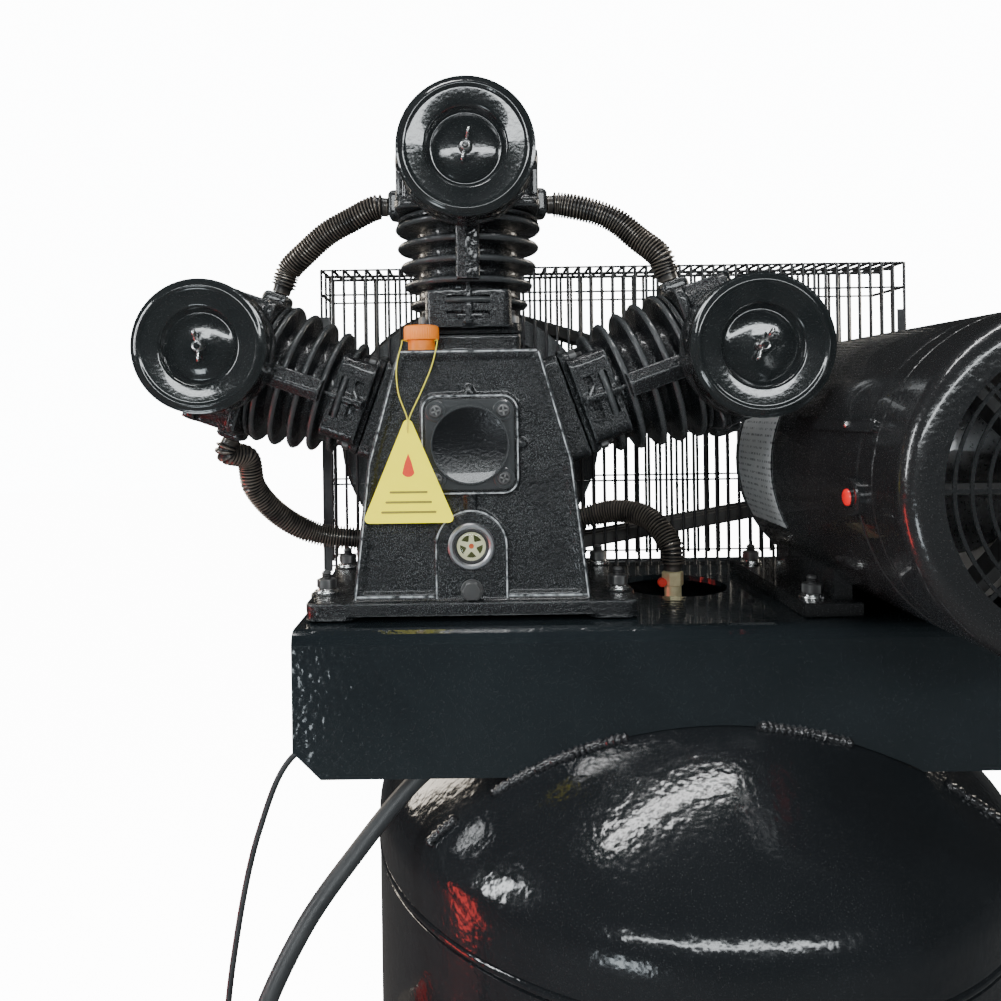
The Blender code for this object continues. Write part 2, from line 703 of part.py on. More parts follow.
def port_point(bank, side, out=0.0):
    """Mouth of a head's port, a distance out from its face."""
    return bank_frame(bank, PAD_R + BARREL_L + PORT_H) @ Vector((side * (PORT_REACH + GAP + out), 0, 0))


def make_pipes():
    left = [
        port_point("top", -1),
        port_point("top", -1, 0.012),
        pump_point(-0.124, -0.028, 0.237),
        pump_point(-0.151, -0.022, 0.224),
        pump_point(-0.176, -0.015, 0.205),
        port_point("left", 1, 0.026),
        port_point("left", 1, 0.012),
        port_point("left", 1),
    ]
    place("intercooler_left", tube_mesh(smooth_route(left, 0.012), TUBE_R), None, (CAST, 0.3, 0.6))
    right = [
        port_point("top", 1),
        port_point("top", 1, 0.012),
        pump_point(0.128, -0.042, 0.240),
        pump_point(0.154, -0.047, 0.228),
        pump_point(0.176, -0.053, 0.208),
        port_point("right", -1, 0.026),
        port_point("right", -1, 0.012),
        port_point("right", -1),
    ]
    place("intercooler_right", tube_mesh(smooth_route(right, 0.012), TUBE_R), None, (CAST, 0.3, 0.6))
    valve_top = Vector((0.0, 0.0, DECK + 0.016 + GAP))
    left_head = bank_frame("left", PAD_R + BARREL_L + PORT_H)
    delivery = [
        port_point("left", -1),
        port_point("left", -1, 0.014),
        left_head @ Vector((-PORT_REACH - 0.0164, 0.017, -0.0183)),
        pump_point(-0.246, 0.022, -0.050),
        pump_point(-0.226, 0.040, -0.082),
        pump_point(-0.190, 0.058, -0.108),
        pump_point(-0.140, 0.0665, -0.118),
        pump_point(-0.040, 0.0675, -0.118),
        pump_point(0.060, 0.0675, -0.112),
        pump_point(0.132, 0.064, -0.096),
        pump_point(0.170, 0.050, -0.088),
        pump_point(0.200, 0.028, -0.094),
        valve_top + Vector((-0.001, 0.003, 0.026)),
        valve_top + Vector((0, 0, 0.010)),
        valve_top,
    ]
    place("discharge_tube", tube_mesh(smooth_route(delivery, 0.027), TUBE_R), None, (CAST, 0.3, 0.6))
    seat = -PLATFORM_OVER_TANK
    profile = [
        (0, 0.016),
        (0.0105, 0.016),
        (0.0115, 0.013),
        (0.0115, 0.001),
        (0.0095, 0),
        (0.0095, -0.012),
        (0.012, -0.014),
        (0.012, -0.036),
        (0.009, -0.038),
        (0.009, seat + GAP),
        (0, seat + GAP),
    ]
    valve = turned("check_valve", profile, Matrix.Translation((0, 0, DECK)), (BRASS, 0.3, 1.0), steps=12)
    side = Matrix.Translation((0, 0, DECK - 0.024)) @ Matrix.Rotation(math.radians(-90), 4, "Y")
    join(valve, rod_mesh(0.005, 0.004, 0.020, 12), matrix=side)


def beside_head(x, y, drop):
    """A point of a route below the platform, laid out for the first tank and grown with it."""
    grown = TANK_R / ROUTE_R
    return Vector((x * grown, y * grown, TANK_APEX + (PLATFORM_OVER_TANK - drop) * grown))


def make_cables():
    over = manifold_frame()
    gland = over @ Vector((SWITCH_HALF_X + GAP, 0.070, SWITCH_BACK + SWITCH_D / 2))
    lead_in = over @ Vector((SWITCH_HALF_X + 0.022, 0.070, SWITCH_BACK + SWITCH_D / 2))
    cable = [
        Vector((beside_head(0.120, 0, 0).x, beside_head(0, -0.135, 0).y, DECK - PLATE - GAP)),
        beside_head(0.120, -0.135, 0.024),
        beside_head(0.095, -0.136, 0.046),
        beside_head(0.030, -0.139, 0.058),
        beside_head(-0.080, -0.142, 0.064),
        beside_head(-0.170, -0.146, 0.080),
        beside_head(-0.225, -0.150, 0.106),
        beside_head(-0.274, -0.156, 0.142),
        beside_head(-0.323, -0.184, 0.190),
        beside_head(-0.366, -0.215, 0.240),
        beside_head(-0.400, -0.248, 0.310),
        beside_head(-0.408, -0.270, 0.385),
        beside_head(-0.388, -0.266, 0.435),
        beside_head(-0.364, -0.226, 0.450),
        lead_in,
        gland,
    ]
    place("motor_cable", tube_mesh(smooth_route(cable, 0.026), CABLE_R), None, (RUBBER, 0.45))
    port = Vector((-0.020 - GAP, 0, DECK - 0.024))
    entry = over @ Vector((0, 0.092, SWITCH_BACK + SWITCH_D + GAP))
    before = over @ Vector((0, 0.092, SWITCH_BACK + SWITCH_D + 0.012))
    pipe = [
        port,
        Vector((-0.032, -0.001, DECK - 0.0245)),
        beside_head(-0.100, -0.020, 0.032),
        beside_head(-0.180, -0.058, 0.058),
        beside_head(-0.260, -0.098, 0.086),
        beside_head(-0.340, -0.124, 0.104),
        beside_head(-0.391, -0.137, 0.127),
        beside_head(-0.420, -0.145, 0.190),
        beside_head(-0.441, -0.154, 0.290),
        beside_head(-0.448, -0.160, 0.370),
        beside_head(-0.440, -0.162, 0.410),
        before,
        entry,
    ]
    place("unloader_tube", tube_mesh(smooth_route(pipe, 0.026), PIPE_R), None, (RUBBER, 0.4))


# ---- belt drive ---------------------------------------------------------------------------------


def grooved(radius, hub_r, bore, web):
    """A V-grooved wheel centred on the belt run, its own Z along the shaft."""
    half = WHEEL_W / 2
    profile = [(radius, half)]
    for i in range(BELTS):
        centre = ((BELTS - 1) / 2 - i) * BELT_PITCH
        root_r = radius - GROOVE_DEPTH - 0.001
        profile += [(radius, centre + GROOVE_TOP), (root_r, centre + GROOVE_ROOT)]
        profile += [(root_r, centre - GROOVE_ROOT), (radius, centre - GROOVE_TOP)]
    rim = radius - 0.026
    profile += [(radius, -half)]
    if web:
        profile += [(rim, -half), (rim - 0.003, -web), (hub_r + 0.003, -web), (hub_r, -half)]
        profile += [(bore, -half), (bore, half), (hub_r, half)]
        profile += [(hub_r + 0.003, web), (rim - 0.003, web), (rim, half)]
    else:
        profile += [(bore, -half), (bore, half)]
    return profile


def make_wheel():
    profile = grooved(WHEEL_R, 0.034, JOURNAL_R + GAP, 0.007)
    spot = along_y(PUMP_X, WHEEL_Y, CRANK_Z)
    wheel = turned("flywheel", profile, spot, (PAINT, 0.35), steps=30)
    for i in range(5):
        angle = math.radians(72 * i + 18)
        centre = (0.083 * math.cos(angle), 0.083 * math.sin(angle))
        cut(wheel, rod_mesh(0.030, -0.02, 0.02, 10, centre=centre))
    profile = grooved(PULLEY_R, 0, SHAFT_R + GAP, 0)
    turned("motor_pulley", profile, along_y(MOTOR_X, WHEEL_Y, SHAFT_Z), (CAST, 0.4), steps=20)


def make_belts():
    """One banded belt: three V ribs under a common backing, run round both wheels."""
    big = Vector((PUMP_X, CRANK_Z))
    small = Vector((MOTOR_X, SHAFT_Z))
    span = small - big
    lean = math.degrees(math.atan2(span.y, span.x))
    open_ = math.degrees(math.acos((WHEEL_R - PULLEY_R) / span.length))
    stations = []
    for centre, radius, start, end, count in (
        (big, WHEEL_R, lean + open_, lean + 360 - open_, 20),
        (small, PULLEY_R, lean - open_, lean + open_, 9),
    ):
        for i in range(count + 1):
            angle = math.radians(start + (end - start) * i / count)
            stations.append((centre, radius, angle))
    back = 0.0045
    seat = 0.0013
    half = WHEEL_W / 2 - 0.005
    section = [(-half, back), (half, back), (half, seat)]
    top = GROOVE_TOP - 0.0012
    root = GROOVE_ROOT - 0.0008
    deep = -GROOVE_DEPTH + 0.0015
    for i in range(BELTS):
        centre = ((BELTS - 1) / 2 - i) * BELT_PITCH
        section += [(centre + top, seat), (centre + root, deep)]
        section += [(centre - root, deep), (centre - top, seat)]
    section.append((-half, seat))
    shape = bmesh.new()
    rings = []
    for centre, radius, angle in stations:
        ring = []
        for side, lift in section:
            reach = radius + lift
            x = centre.x + reach * math.cos(angle)
            z = centre.y + reach * math.sin(angle)
            ring.append(shape.verts.new((x, WHEEL_Y + side, z)))
        rings.append(ring)
    for ring, following in zip(rings, rings[1:] + rings[:1]):
        for i in range(len(section)):
            j = (i + 1) % len(section)
            shape.faces.new((ring[i], following[i], following[j], ring[j]))
    bmesh.ops.recalc_face_normals(shape, faces=shape.faces)
    mesh = bpy.data.meshes.new("belt")
    shape.to_mesh(mesh)
    shape.free()
    place("drive_belt", mesh, None, (RUBBER, 0.6))


def grille_faces(shape, corner, across, up, wide, high, columns, rows, bar):
    """A flat sheet of bars: a grid of faces whose middles are left out."""

    def steps(length, count):
        pitch = (length - bar) / count
        marks = []
        for i in range(count + 1):
            marks += [i * pitch, i * pitch + bar]
        return marks

    xs = steps(wide, columns)
    zs = steps(high, rows)
    points = [[shape.verts.new(corner + across * x + up * z) for z in zs] for x in xs]
    for i in range(len(xs) - 1):
        for j in range(len(zs) - 1):
            if i % 2 and j % 2:
                continue
            shape.faces.new((points[i][j], points[i + 1][j], points[i + 1][j + 1], points[i][j + 1]))


def make_guard():
    """Wire basket round the belt: a flat front panel, and a back with its sides and top."""
    low = DECK + GUARD_FOOT
    wide = GUARD_RIGHT - GUARD_LEFT
    high = GUARD_TOP - GUARD_FOOT
    x_axis = Vector((1, 0, 0))
    z_axis = Vector((0, 0, 1))
    y_axis = Vector((0, 1, 0))
    bar = GUARD_BAR
    columns = 8
    rows = 3
    front = bmesh.new()
    near_corner = Vector((GUARD_LEFT, GUARD_FRONT, low))
    grille_faces(front, near_corner, x_axis, z_axis, wide, high, columns, rows, bar)
    back = bmesh.new()
    rim_front = GUARD_FRONT + GUARD_WIRE + GAP
    depth = GUARD_BACK - rim_front
    corner = Vector((GUARD_LEFT, GUARD_BACK, low))
    grille_faces(back, corner, x_axis, z_axis, wide, high, columns, rows, bar)
    grille_faces(back, corner, -y_axis, z_axis, depth, high, 2, rows, bar)
    grille_faces(back, corner + x_axis * wide, -y_axis, z_axis, depth, high, 2, rows, bar)
    grille_faces(back, corner + z_axis * high, x_axis, -y_axis, wide, depth, columns, 2, bar)
    for shape, name in ((front, "belt_guard_front"), (back, "belt_guard_back")):
        bmesh.ops.remove_doubles(shape, verts=shape.verts, dist=0.00005)
        bmesh.ops.recalc_face_normals(shape, faces=shape.faces)
        mesh = bpy.data.meshes.new("grille")
        shape.to_mesh(mesh)
        shape.free()
        guard = place(name, mesh, None, (PAINT, 0.3))
        wall = guard.modifiers.new("wire", "SOLIDIFY")
        wall.thickness = GUARD_WIRE
        wall.offset = 0
        if shape is front:
            for x, z, radius in ((PUMP_X, CRANK_Z, JOURNAL_R), (MOTOR_X, SHAFT_Z, SHAFT_R)):
                cut(guard, rod_mesh(radius + 0.012, -0.02, 0.02, 16), matrix=along_y(x, GUARD_FRONT, z))


# ---- motor --------------------------------------------------------------------------------------


def make_motor():
    axis = along_y(MOTOR_X, 0, SHAFT_Z)
    inner = MOTOR_R - MOTOR_WALL
    profile = [(MOTOR_R, MOTOR_FAR), (MOTOR_R, MOTOR_NEAR), (inner, MOTOR_NEAR), (inner, MOTOR_FAR)]
    frame = turned("motor_frame", profile, axis, (PAINT, 0.28), steps=32)
    stand = Matrix.Translation((MOTOR_X, 0, DECK))
    for side in (-1, 1):
        sole = sorted((side * MOTOR_FOOT_X, side * 0.070))
        join(
            frame,
            block_mesh((sole[0], MOTOR_FOOT_NEAR, RIDE), (sole[1], MOTOR_FOOT_FAR, MOTOR_FOOT_T)),
            matrix=stand,
        )
        leg = sorted((side * (MOTOR_R - 0.038), side * (MOTOR_R - 0.056)))
        join(
            frame,
            block_mesh((leg[0], MOTOR_FOOT_NEAR + 0.01, 0.008), (leg[1], MOTOR_FAR - 0.012, 0.055)),
            matrix=stand,
        )
    on_axis = Matrix.Translation((MOTOR_X, 0, SHAFT_Z))
    box_frame = on_axis @ Matrix.Rotation(math.radians(BOX_LEAN), 4, "Y")
    seat = MOTOR_R + 0.003
    join(frame, block_mesh((-0.038, -0.290, MOTOR_R - 0.018), (0.038, -0.214, seat)), matrix=box_frame)
    lid = outline_mesh([rounded_box(0.042, 0.043, 0.008, 2)], seat + GAP, seat + BOX_H)
    lid.transform(Matrix.Translation((0, -0.252, 0)))
    box = place("terminal_box", lid, box_frame, (PAINT, 0.3))
    cut(box, block_mesh((-0.036, -0.289, seat - 0.01), (0.036, -0.215, seat + BOX_H - 0.004)))
    cut(frame, bore_mesh(inner, MOTOR_NEAR - 0.01, MOTOR_FAR + 0.01, 32), matrix=axis)
    beside = Matrix.Translation((MOTOR_X, -0.274, SHAFT_Z - BUTTON_DROP))
    inward = beside @ Matrix.Rotation(math.radians(-90), 4, "Y")
    join(frame, rod_mesh(0.015, MOTOR_R - 0.010, MOTOR_R + 0.006, 24), matrix=inward)
    cut(frame, rod_mesh(BUTTON_R + RUNNING, MOTOR_R - 0.02, MOTOR_R + 0.01, 20), matrix=inward)
    button = rod_mesh(BUTTON_R, MOTOR_R - 0.006, MOTOR_R + 0.0095, 20)
    place("reset_button", button, inward, ((0.75, 0.02, 0.02), 0.3))
    far = MOTOR_FAR + GAP
    end = MOTOR_FAR + SHIELD_D
    bore = SHAFT_R + RUNNING
    shield = [
        (bore + 0.004, end),
        (0.056, end),
        (0.060, far + 0.022),
        (MOTOR_R, far + 0.008),
        (MOTOR_R, far),
        (MOTOR_R - 0.016, far),
        (0.056, far + 0.008),
        (bore, far + 0.010),
        (bore, end - 0.006),
    ]
    turned("motor_end_shield", shield, axis, (CAST, 0.35), steps=24)
    near = MOTOR_NEAR - GAP
    face = near - COWL_D
    skin = 0.002
    cowl = [
        (MOTOR_R, near),
        (MOTOR_R, face + 0.012),
        (MOTOR_R - 0.012, face),
        (0.085, face),
        (0.085, face + skin),
        (MOTOR_R - 0.013, face + skin),
        (MOTOR_R - skin, face + 0.0125),
        (MOTOR_R - skin, near),
    ]
    cowl_piece = turned("motor_fan_cover", cowl, axis, (PAINT, 0.3), steps=28)
    for i in range(3):
        arm = block_mesh((-0.090, -0.003, face + 0.0003), (0.090, 0.003, face + skin - 0.0003))
        join(cowl_piece, arm, matrix=axis @ Matrix.Rotation(math.radians(60 * i), 4, "Z"))
    tooth = ROTOR_R + 0.001
    ring_profile = [(STATOR_R, -0.020), (STATOR_R, -0.170), (tooth, -0.170), (tooth, -0.020)]
    turned("motor_stator", ring_profile, axis, ((0.3, 0.3, 0.32), 0.5, 0.8), steps=24)
    rotor_profile = [
        (0, WHEEL_Y + WHEEL_W / 2),
        (SHAFT_R, WHEEL_Y + WHEEL_W / 2),
        (SHAFT_R, -0.010),
        (ROTOR_R, -0.020),
        (ROTOR_R, -0.170),
        (SHAFT_R, -0.180),
        (SHAFT_R, face + 0.012),
        (0, face + 0.012),
    ]
    turned("motor_rotor", rotor_profile, axis, (STEEL, 0.35, 1.0), steps=28)
    blades = 8
    fan_outline = []
    for i in range(blades):
        base = 360 / blades * i
        fan_outline += arc(0.112, base - 2, base + 2, 1)
        fan_outline += arc(0.030, base + 8, base + 37, 2)
    fan = outline_mesh([fan_outline, arc(SHAFT_R + GAP, 0, 345, 23)], face + 0.018, face + 0.040)
    place("motor_fan", fan, axis, (RUBBER, 0.5))


# ---- tank fittings ------------------------------------------------------------------------------


def manifold_frame():
    """Own Z straight out of the tank wall, own Y up, zero on the tank's axis."""
    angle = math.radians(MANIFOLD_DEG)
    out = Vector((math.cos(angle), math.sin(angle), 0))
    up = Vector((0, 0, 1))
    return frame_of(Vector((0, 0, DECK - MANIFOLD_DROP)), up.cross(out), up, out)


def make_fittings():
    spot = manifold_frame()
    near = TANK_R + 0.035
    far = near + 2 * BLOCK
    middle = near + BLOCK
    block = block_mesh((-BLOCK, -BLOCK, near), (BLOCK, BLOCK, far))
    manifold = place("manifold", block, spot, (BRASS, 0.35, 1.0))
    join(manifold, rod_mesh(0.013, TANK_R + 0.0012, near + 0.005, 20))
    cut(manifold, rod_mesh(0.006, TANK_R - 0.01, far + 0.01, 12))
    low = BLOCK + GAP
    far_side = SWITCH_BACK + SWITCH_D
    body = block_mesh((-SWITCH_HALF_X, low, SWITCH_BACK), (SWITCH_HALF_X, low + SWITCH_H, far_side))
    switch = place("pressure_switch", body, spot, (RUBBER, 0.35))
    soften(switch, 0.006)
    up = spot @ Matrix.Translation((0, 0, middle)) @ Matrix.Rotation(math.radians(-90), 4, "X")
    head = low + SWITCH_H + GAP
    knob = place("switch_knob", rod_mesh(0.014, head, head + 0.010, 20), up, ((0.7, 0.03, 0.03), 0.35))
    grip = block_mesh((-0.004, -0.013, head + 0.008), (0.004, 0.013, head + 0.020))
    join(knob, grip)
    side = spot @ Matrix.Translation((0, 0, middle)) @ Matrix.Rotation(math.radians(90), 4, "Y")
    start = BLOCK + GAP
    dial = start + 0.022
    glass = dial + 0.020
    gauge = [(0, glass), (0.025, glass), (0.026, glass + 0.004), (0.029, glass + 0.004), (0.031, glass)]
    gauge += [(0.031, dial), (0.007, dial - 0.002), (0.007, start), (0, start)]
    turned("pressure_gauge", gauge, side, (STEEL, 0.3, 1.0), steps=24)
    other = spot @ Matrix.Translation((0, 0, middle)) @ Matrix.Rotation(math.radians(-90), 4, "Y")
    valve = [(0, start + 0.044), (0.006, start + 0.044), (0.008, start + 0.038), (0.012, start + 0.034)]
    valve += [(0.012, start + 0.010), (0.008, start + 0.007), (0.008, start), (0, start)]
    safety = turned("safety_valve", valve, other, (BRASS, 0.3, 1.0), steps=12)
    stem_bore = 0.0025 + RUNNING
    cut(safety, rod_mesh(stem_bore, start + 0.020, start + 0.06, 12))
    stem = rod_mesh(0.0025, start + 0.024, start + 0.052, 12)
    ring = place("safety_ring", stem, other, (STEEL, 0.3, 1.0))
    loop = outline_mesh([arc(0.013, 0, 345, 23), arc(0.0105, 0, 340, 17)], -0.0014, 0.0014)
    upright = Matrix.Translation((0, 0, start + 0.0625)) @ Matrix.Rotation(math.radians(90), 4, "X")
    join(ring, loop, matrix=other @ upright)
    end = far + GAP
    ball = [(0, end + 0.064), (0.015, end + 0.064), (0.015, end + 0.048), (0.019, end + 0.044)]
    ball += [(0.019, end + 0.018), (0.014, end + 0.014), (0.012, end + 0.012), (0.012, end), (0, end)]
    outlet = turned("outlet_valve", ball, spot, (BRASS, 0.3, 1.0), steps=16)
    cut(outlet, rod_mesh(0.0085, end + 0.020, end + 0.090, 16))
    pivot = end + 0.031
    post = spot @ Matrix.Translation((0, 0, pivot)) @ Matrix.Rotation(math.radians(-90), 4, "X")
    join(outlet, rod_mesh(0.006, 0.010, 0.024, 14), matrix=post)
    half_lever = [(0.009, -0.010), (0.009, 0.012), (0.0055, 0.020), (0.0055, 0.085)]
    whole = half_lever + [(-x, y) for x, y in reversed(half_lever)]
    lever = outline_mesh([whole], 0.024 + GAP, 0.028)
    lever.transform(Matrix.Rotation(math.radians(180), 4, "Z"))
    place("outlet_lever", lever, post, ((0.65, 0.03, 0.03), 0.4))
    plug = DRAIN_R - RUNNING
    drain = [(0, 0.010), (plug, 0.010), (plug, -0.001), (0.016, -0.001), (0.016, -0.010)]
    drain += [(0.009, -0.014), (0.009, -0.030), (0, -0.030)]
    under = Matrix.Translation((0, 0, TANK_CLEAR))
    cock = turned("drain_cock", drain, under, (BRASS, 0.3, 1.0), steps=16)
    join(cock, block_mesh((-0.020, -0.0025, -0.027), (0.020, 0.0025, -0.018)))


# ---- assembly -----------------------------------------------------------------------------------

make_tank()
make_skirt()
make_platform()
make_crankcase()
for side_name in BANKS:
    make_cylinder(side_name)
    make_piston(side_name)
    make_rod(side_name)
    make_head(side_name)
    make_filter(side_name)
make_crankshaft()
make_bearing("front_bearing", FRONT_RACE_R - GAP, CASE_FRONT + 0.0005, CASE_FRONT + 0.0155)
make_bearing("rear_bearing", BACK_RACE_R - GAP, CASE_BACK - 0.016, CASE_BACK - 0.001)
make_case_fittings()
make_tag()
make_pipes()
make_cables()
make_wheel()
make_belts()
make_guard()
make_motor()
make_fittings()

# The middle of the footprint goes to X = Y = 0.
bpy.context.view_layer.update()
graph = bpy.context.evaluated_depsgraph_get()
corners = []
for piece in parts.objects:
    if piece.type == "MESH":
        solid = piece.evaluated_get(graph)
        corners += [solid.matrix_world @ Vector(corner) for corner in solid.bound_box]
middle_x = (min(c.x for c in corners) + max(c.x for c in corners)) / 2
middle_y = (min(c.y for c in corners) + max(c.y for c in corners)) / 2
root.location = (-middle_x, -middle_y, 0)
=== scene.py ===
import math
import random

import bmesh
import bpy
from mathutils import Matrix, Vector, noise


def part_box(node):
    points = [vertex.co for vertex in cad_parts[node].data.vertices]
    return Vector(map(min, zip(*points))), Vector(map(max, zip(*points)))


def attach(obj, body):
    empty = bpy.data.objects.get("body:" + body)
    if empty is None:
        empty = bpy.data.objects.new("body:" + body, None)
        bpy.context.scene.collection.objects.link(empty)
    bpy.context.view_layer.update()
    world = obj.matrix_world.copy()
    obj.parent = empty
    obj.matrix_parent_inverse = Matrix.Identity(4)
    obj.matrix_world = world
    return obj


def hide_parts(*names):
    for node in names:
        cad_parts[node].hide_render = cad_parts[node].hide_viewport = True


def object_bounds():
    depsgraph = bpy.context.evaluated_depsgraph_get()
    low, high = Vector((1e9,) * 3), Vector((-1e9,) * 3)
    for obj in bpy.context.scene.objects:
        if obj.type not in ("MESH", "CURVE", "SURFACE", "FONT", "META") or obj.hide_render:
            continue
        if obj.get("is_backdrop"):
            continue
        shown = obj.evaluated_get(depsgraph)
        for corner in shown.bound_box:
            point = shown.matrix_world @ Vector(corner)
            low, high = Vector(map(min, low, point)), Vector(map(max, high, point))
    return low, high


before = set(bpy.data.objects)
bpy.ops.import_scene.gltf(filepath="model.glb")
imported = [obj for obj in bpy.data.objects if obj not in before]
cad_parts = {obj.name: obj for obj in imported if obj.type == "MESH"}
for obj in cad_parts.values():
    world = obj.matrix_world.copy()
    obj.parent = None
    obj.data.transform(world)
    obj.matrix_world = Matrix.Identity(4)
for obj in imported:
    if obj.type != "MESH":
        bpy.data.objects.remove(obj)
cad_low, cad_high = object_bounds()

# ---- Where the machine stands ------------------------------------------------------------------
# Three axes set everything out: the tank's upright axis, the crank's and the motor shaft's, which
# both run from the filters (front) to the belt guard (back).

tank_low, tank_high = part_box("tank_shell")
tank_x = (tank_low.x + tank_high.x) / 2
tank_r = (tank_high.x - tank_low.x) / 2
deck_low, deck_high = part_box("platform")
deck = deck_high.z
wheel_low, wheel_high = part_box("flywheel")
pump_x = (wheel_low.x + wheel_high.x) / 2
crank_z = (wheel_low.z + wheel_high.z) / 2
pulley_low, pulley_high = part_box("motor_pulley")
motor_x = (pulley_low.x + pulley_high.x) / 2
shaft_z = (pulley_low.z + pulley_high.z) / 2

# ---- Camera, floor and light -------------------------------------------------------------------
# A hand-held view from just above the platform, square to its front. The floor is plain and pale;
# narrow soft lamps stand in front, on the left, overhead and behind, and a small red one low on the
# left, which the black enamel mirrors.

eye = Vector((tank_x - 0.212, -0.915, deck + 0.198))
camera_data = bpy.data.cameras.new("camera")
camera_data.lens = 29.85
camera_data.sensor_width = 36
camera_data.shift_x = 0.0225
camera_data.shift_y = -0.0924
camera_data.clip_start = 0.02
camera_data.clip_end = 50
camera = bpy.data.objects.new("camera", camera_data)
bpy.context.scene.collection.objects.link(camera)
camera.matrix_world = (
    Matrix.Translation(eye)
    @ Matrix.Rotation(math.radians(0.82), 4, "Y")
    @ Matrix.Rotation(math.radians(90), 4, "X")
)
bpy.context.scene.camera = camera


class Wire:
    """A shader socket that sums like a number: each operator adds a Math node."""

    def __init__(self, tree, socket):
        self.tree = tree
        self.socket = socket

    def _math(self, operation, first, second):
        node = self.tree.nodes.new("ShaderNodeMath")
        node.operation = operation
        plug(self.tree, node.inputs[0], first)
        plug(self.tree, node.inputs[1], second)
        return Wire(self.tree, node.outputs[0])

    def __add__(self, other):
        return self._math("ADD", self, other)

    def __radd__(self, other):
        return self._math("ADD", other, self)

    def __sub__(self, other):
        return self._math("SUBTRACT", self, other)

    def __rsub__(self, other):
        return self._math("SUBTRACT", other, self)

    def __mul__(self, other):
        return self._math("MULTIPLY", self, other)

    def __rmul__(self, other):
        return self._math("MULTIPLY", other, self)

    def __truediv__(self, other):
        return self._math("DIVIDE", self, other)

    def __pow__(self, other):
        return self._math("POWER", self, other)

    def __gt__(self, other):
        return self._math("GREATER_THAN", self, other)

    def __lt__(self, other):
        return self._math("LESS_THAN", self, other)


def plug(tree, socket, value):
    if isinstance(value, Wire):
        tree.links.new(value.socket, socket)
    elif isinstance(value, tuple) and len(value) == 3 and socket.type == "RGBA":
        socket.default_value = (*value, 1)
    else:
        socket.default_value = value


class Finish:
    """A material on one Principled shader. Its place in the row frame comes from object space."""

    def __init__(self, name, **constants):
        self.material = bpy.data.materials.new(name)
        self.material.use_nodes = True
        self.tree = self.material.node_tree
        self.shader = self.tree.nodes["Principled BSDF"]
        self.set(**constants)

    def set(self, **sockets):
        for name, value in sockets.items():
            plug(self.tree, self.shader.inputs[name.replace("_", " ")], value)

    def node(self, kind, settings=None, out=0, **sockets):
        node = self.tree.nodes.new(f"ShaderNode{kind}")
        for name, value in (settings or {}).items():
            if name == "stops":
                ramp = node.color_ramp
                for i, (place, color) in enumerate(value):
                    stop = ramp.elements[i] if i < len(ramp.elements) else ramp.elements.new(place)
                    stop.position = place
                    stop.color = (*color, 1)
            else:
                setattr(node, name, value)
        for name, value in sockets.items():
            plug(self.tree, node.inputs[name.replace("_", " ")], value)
        return Wire(self.tree, node.outputs[out])

    def place(self, *stretch):
        """Row-frame position in metres, stretched along X, Y and Z if three numbers are given."""
        spot = self.node("TexCoord", out="Object")
        if not stretch:
            return spot
        return self.node("Mapping", Vector=spot, Scale=Vector(stretch))

    def noise(self, scale, detail=3.0, roughness=0.55, where=None):
        where = where or self.place()
        return self.node("TexNoise", out="Fac", Vector=where, Scale=scale, Detail=detail, Roughness=roughness)

    def ramp(self, value, *stops):
        """A grey ramp: pairs of place and level."""
        return self.node("ValToRGB", {"stops": [(p, (v, v, v)) for p, v in stops]}, Fac=value)

    def mix(self, share, first, second):
        node = self.tree.nodes.new("ShaderNodeMix")
        node.data_type = "RGBA"
        plug(self.tree, node.inputs[0], share)
        plug(self.tree, node.inputs[6], first)
        plug(self.tree, node.inputs[7], second)
        return Wire(self.tree, node.outputs[2])

    def bump(self, height, distance, strength=1.0, over=None):
        node = self.tree.nodes.new("ShaderNodeBump")
        plug(self.tree, node.inputs["Height"], height)
        node.inputs["Distance"].default_value = distance
        node.inputs["Strength"].default_value = strength
        if over:
            plug(self.tree, node.inputs["Normal"], over)
        return Wire(self.tree, node.outputs[0])


floor_paint = Finish("floor_paint", Roughness=0.9, Emission_Strength=14.0)
floor_tone = floor_paint.mix(floor_paint.noise(1.5), (0.86, 0.86, 0.86), (0.90, 0.90, 0.89))
to_camera = floor_paint.node("LightPath", out="Is Camera Ray")
to_gloss = floor_paint.node("LightPath", out="Is Glossy Ray")
floor_paint.set(Base_Color=floor_paint.mix(to_gloss, floor_tone, (0.06, 0.06, 0.06)))
floor_paint.set(Emission_Color=floor_paint.mix(to_camera, (0.0, 0.0, 0.0), (0.9, 0.9, 0.9)))
floor_form = bmesh.new()
bmesh.ops.create_grid(floor_form, x_segments=1, y_segments=1, size=14)
floor_mesh = bpy.data.meshes.new("floor")
floor_form.to_mesh(floor_mesh)
floor_form.free()
floor = bpy.data.objects.new("floor", floor_mesh)
floor_mesh.materials.append(floor_paint.material)
bpy.context.scene.collection.objects.link(floor)
floor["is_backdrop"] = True

sky = bpy.data.worlds.new("studio")
sky.use_nodes = True
bpy.context.scene.world = sky
sky_tree = sky.node_tree
rays = sky_tree.nodes.new("ShaderNodeLightPath")
tone = Wire(sky_tree, rays.outputs["Is Camera Ray"]) * 13.0 + 0.70
tone = tone - Wire(sky_tree, rays.outputs["Is Glossy Ray"]) * 0.68
plug(sky_tree, sky_tree.nodes["Background"].inputs["Strength"], tone)
sky_tree.nodes["Background"].inputs["Color"].default_value = (0.97, 0.99, 1.0, 1)


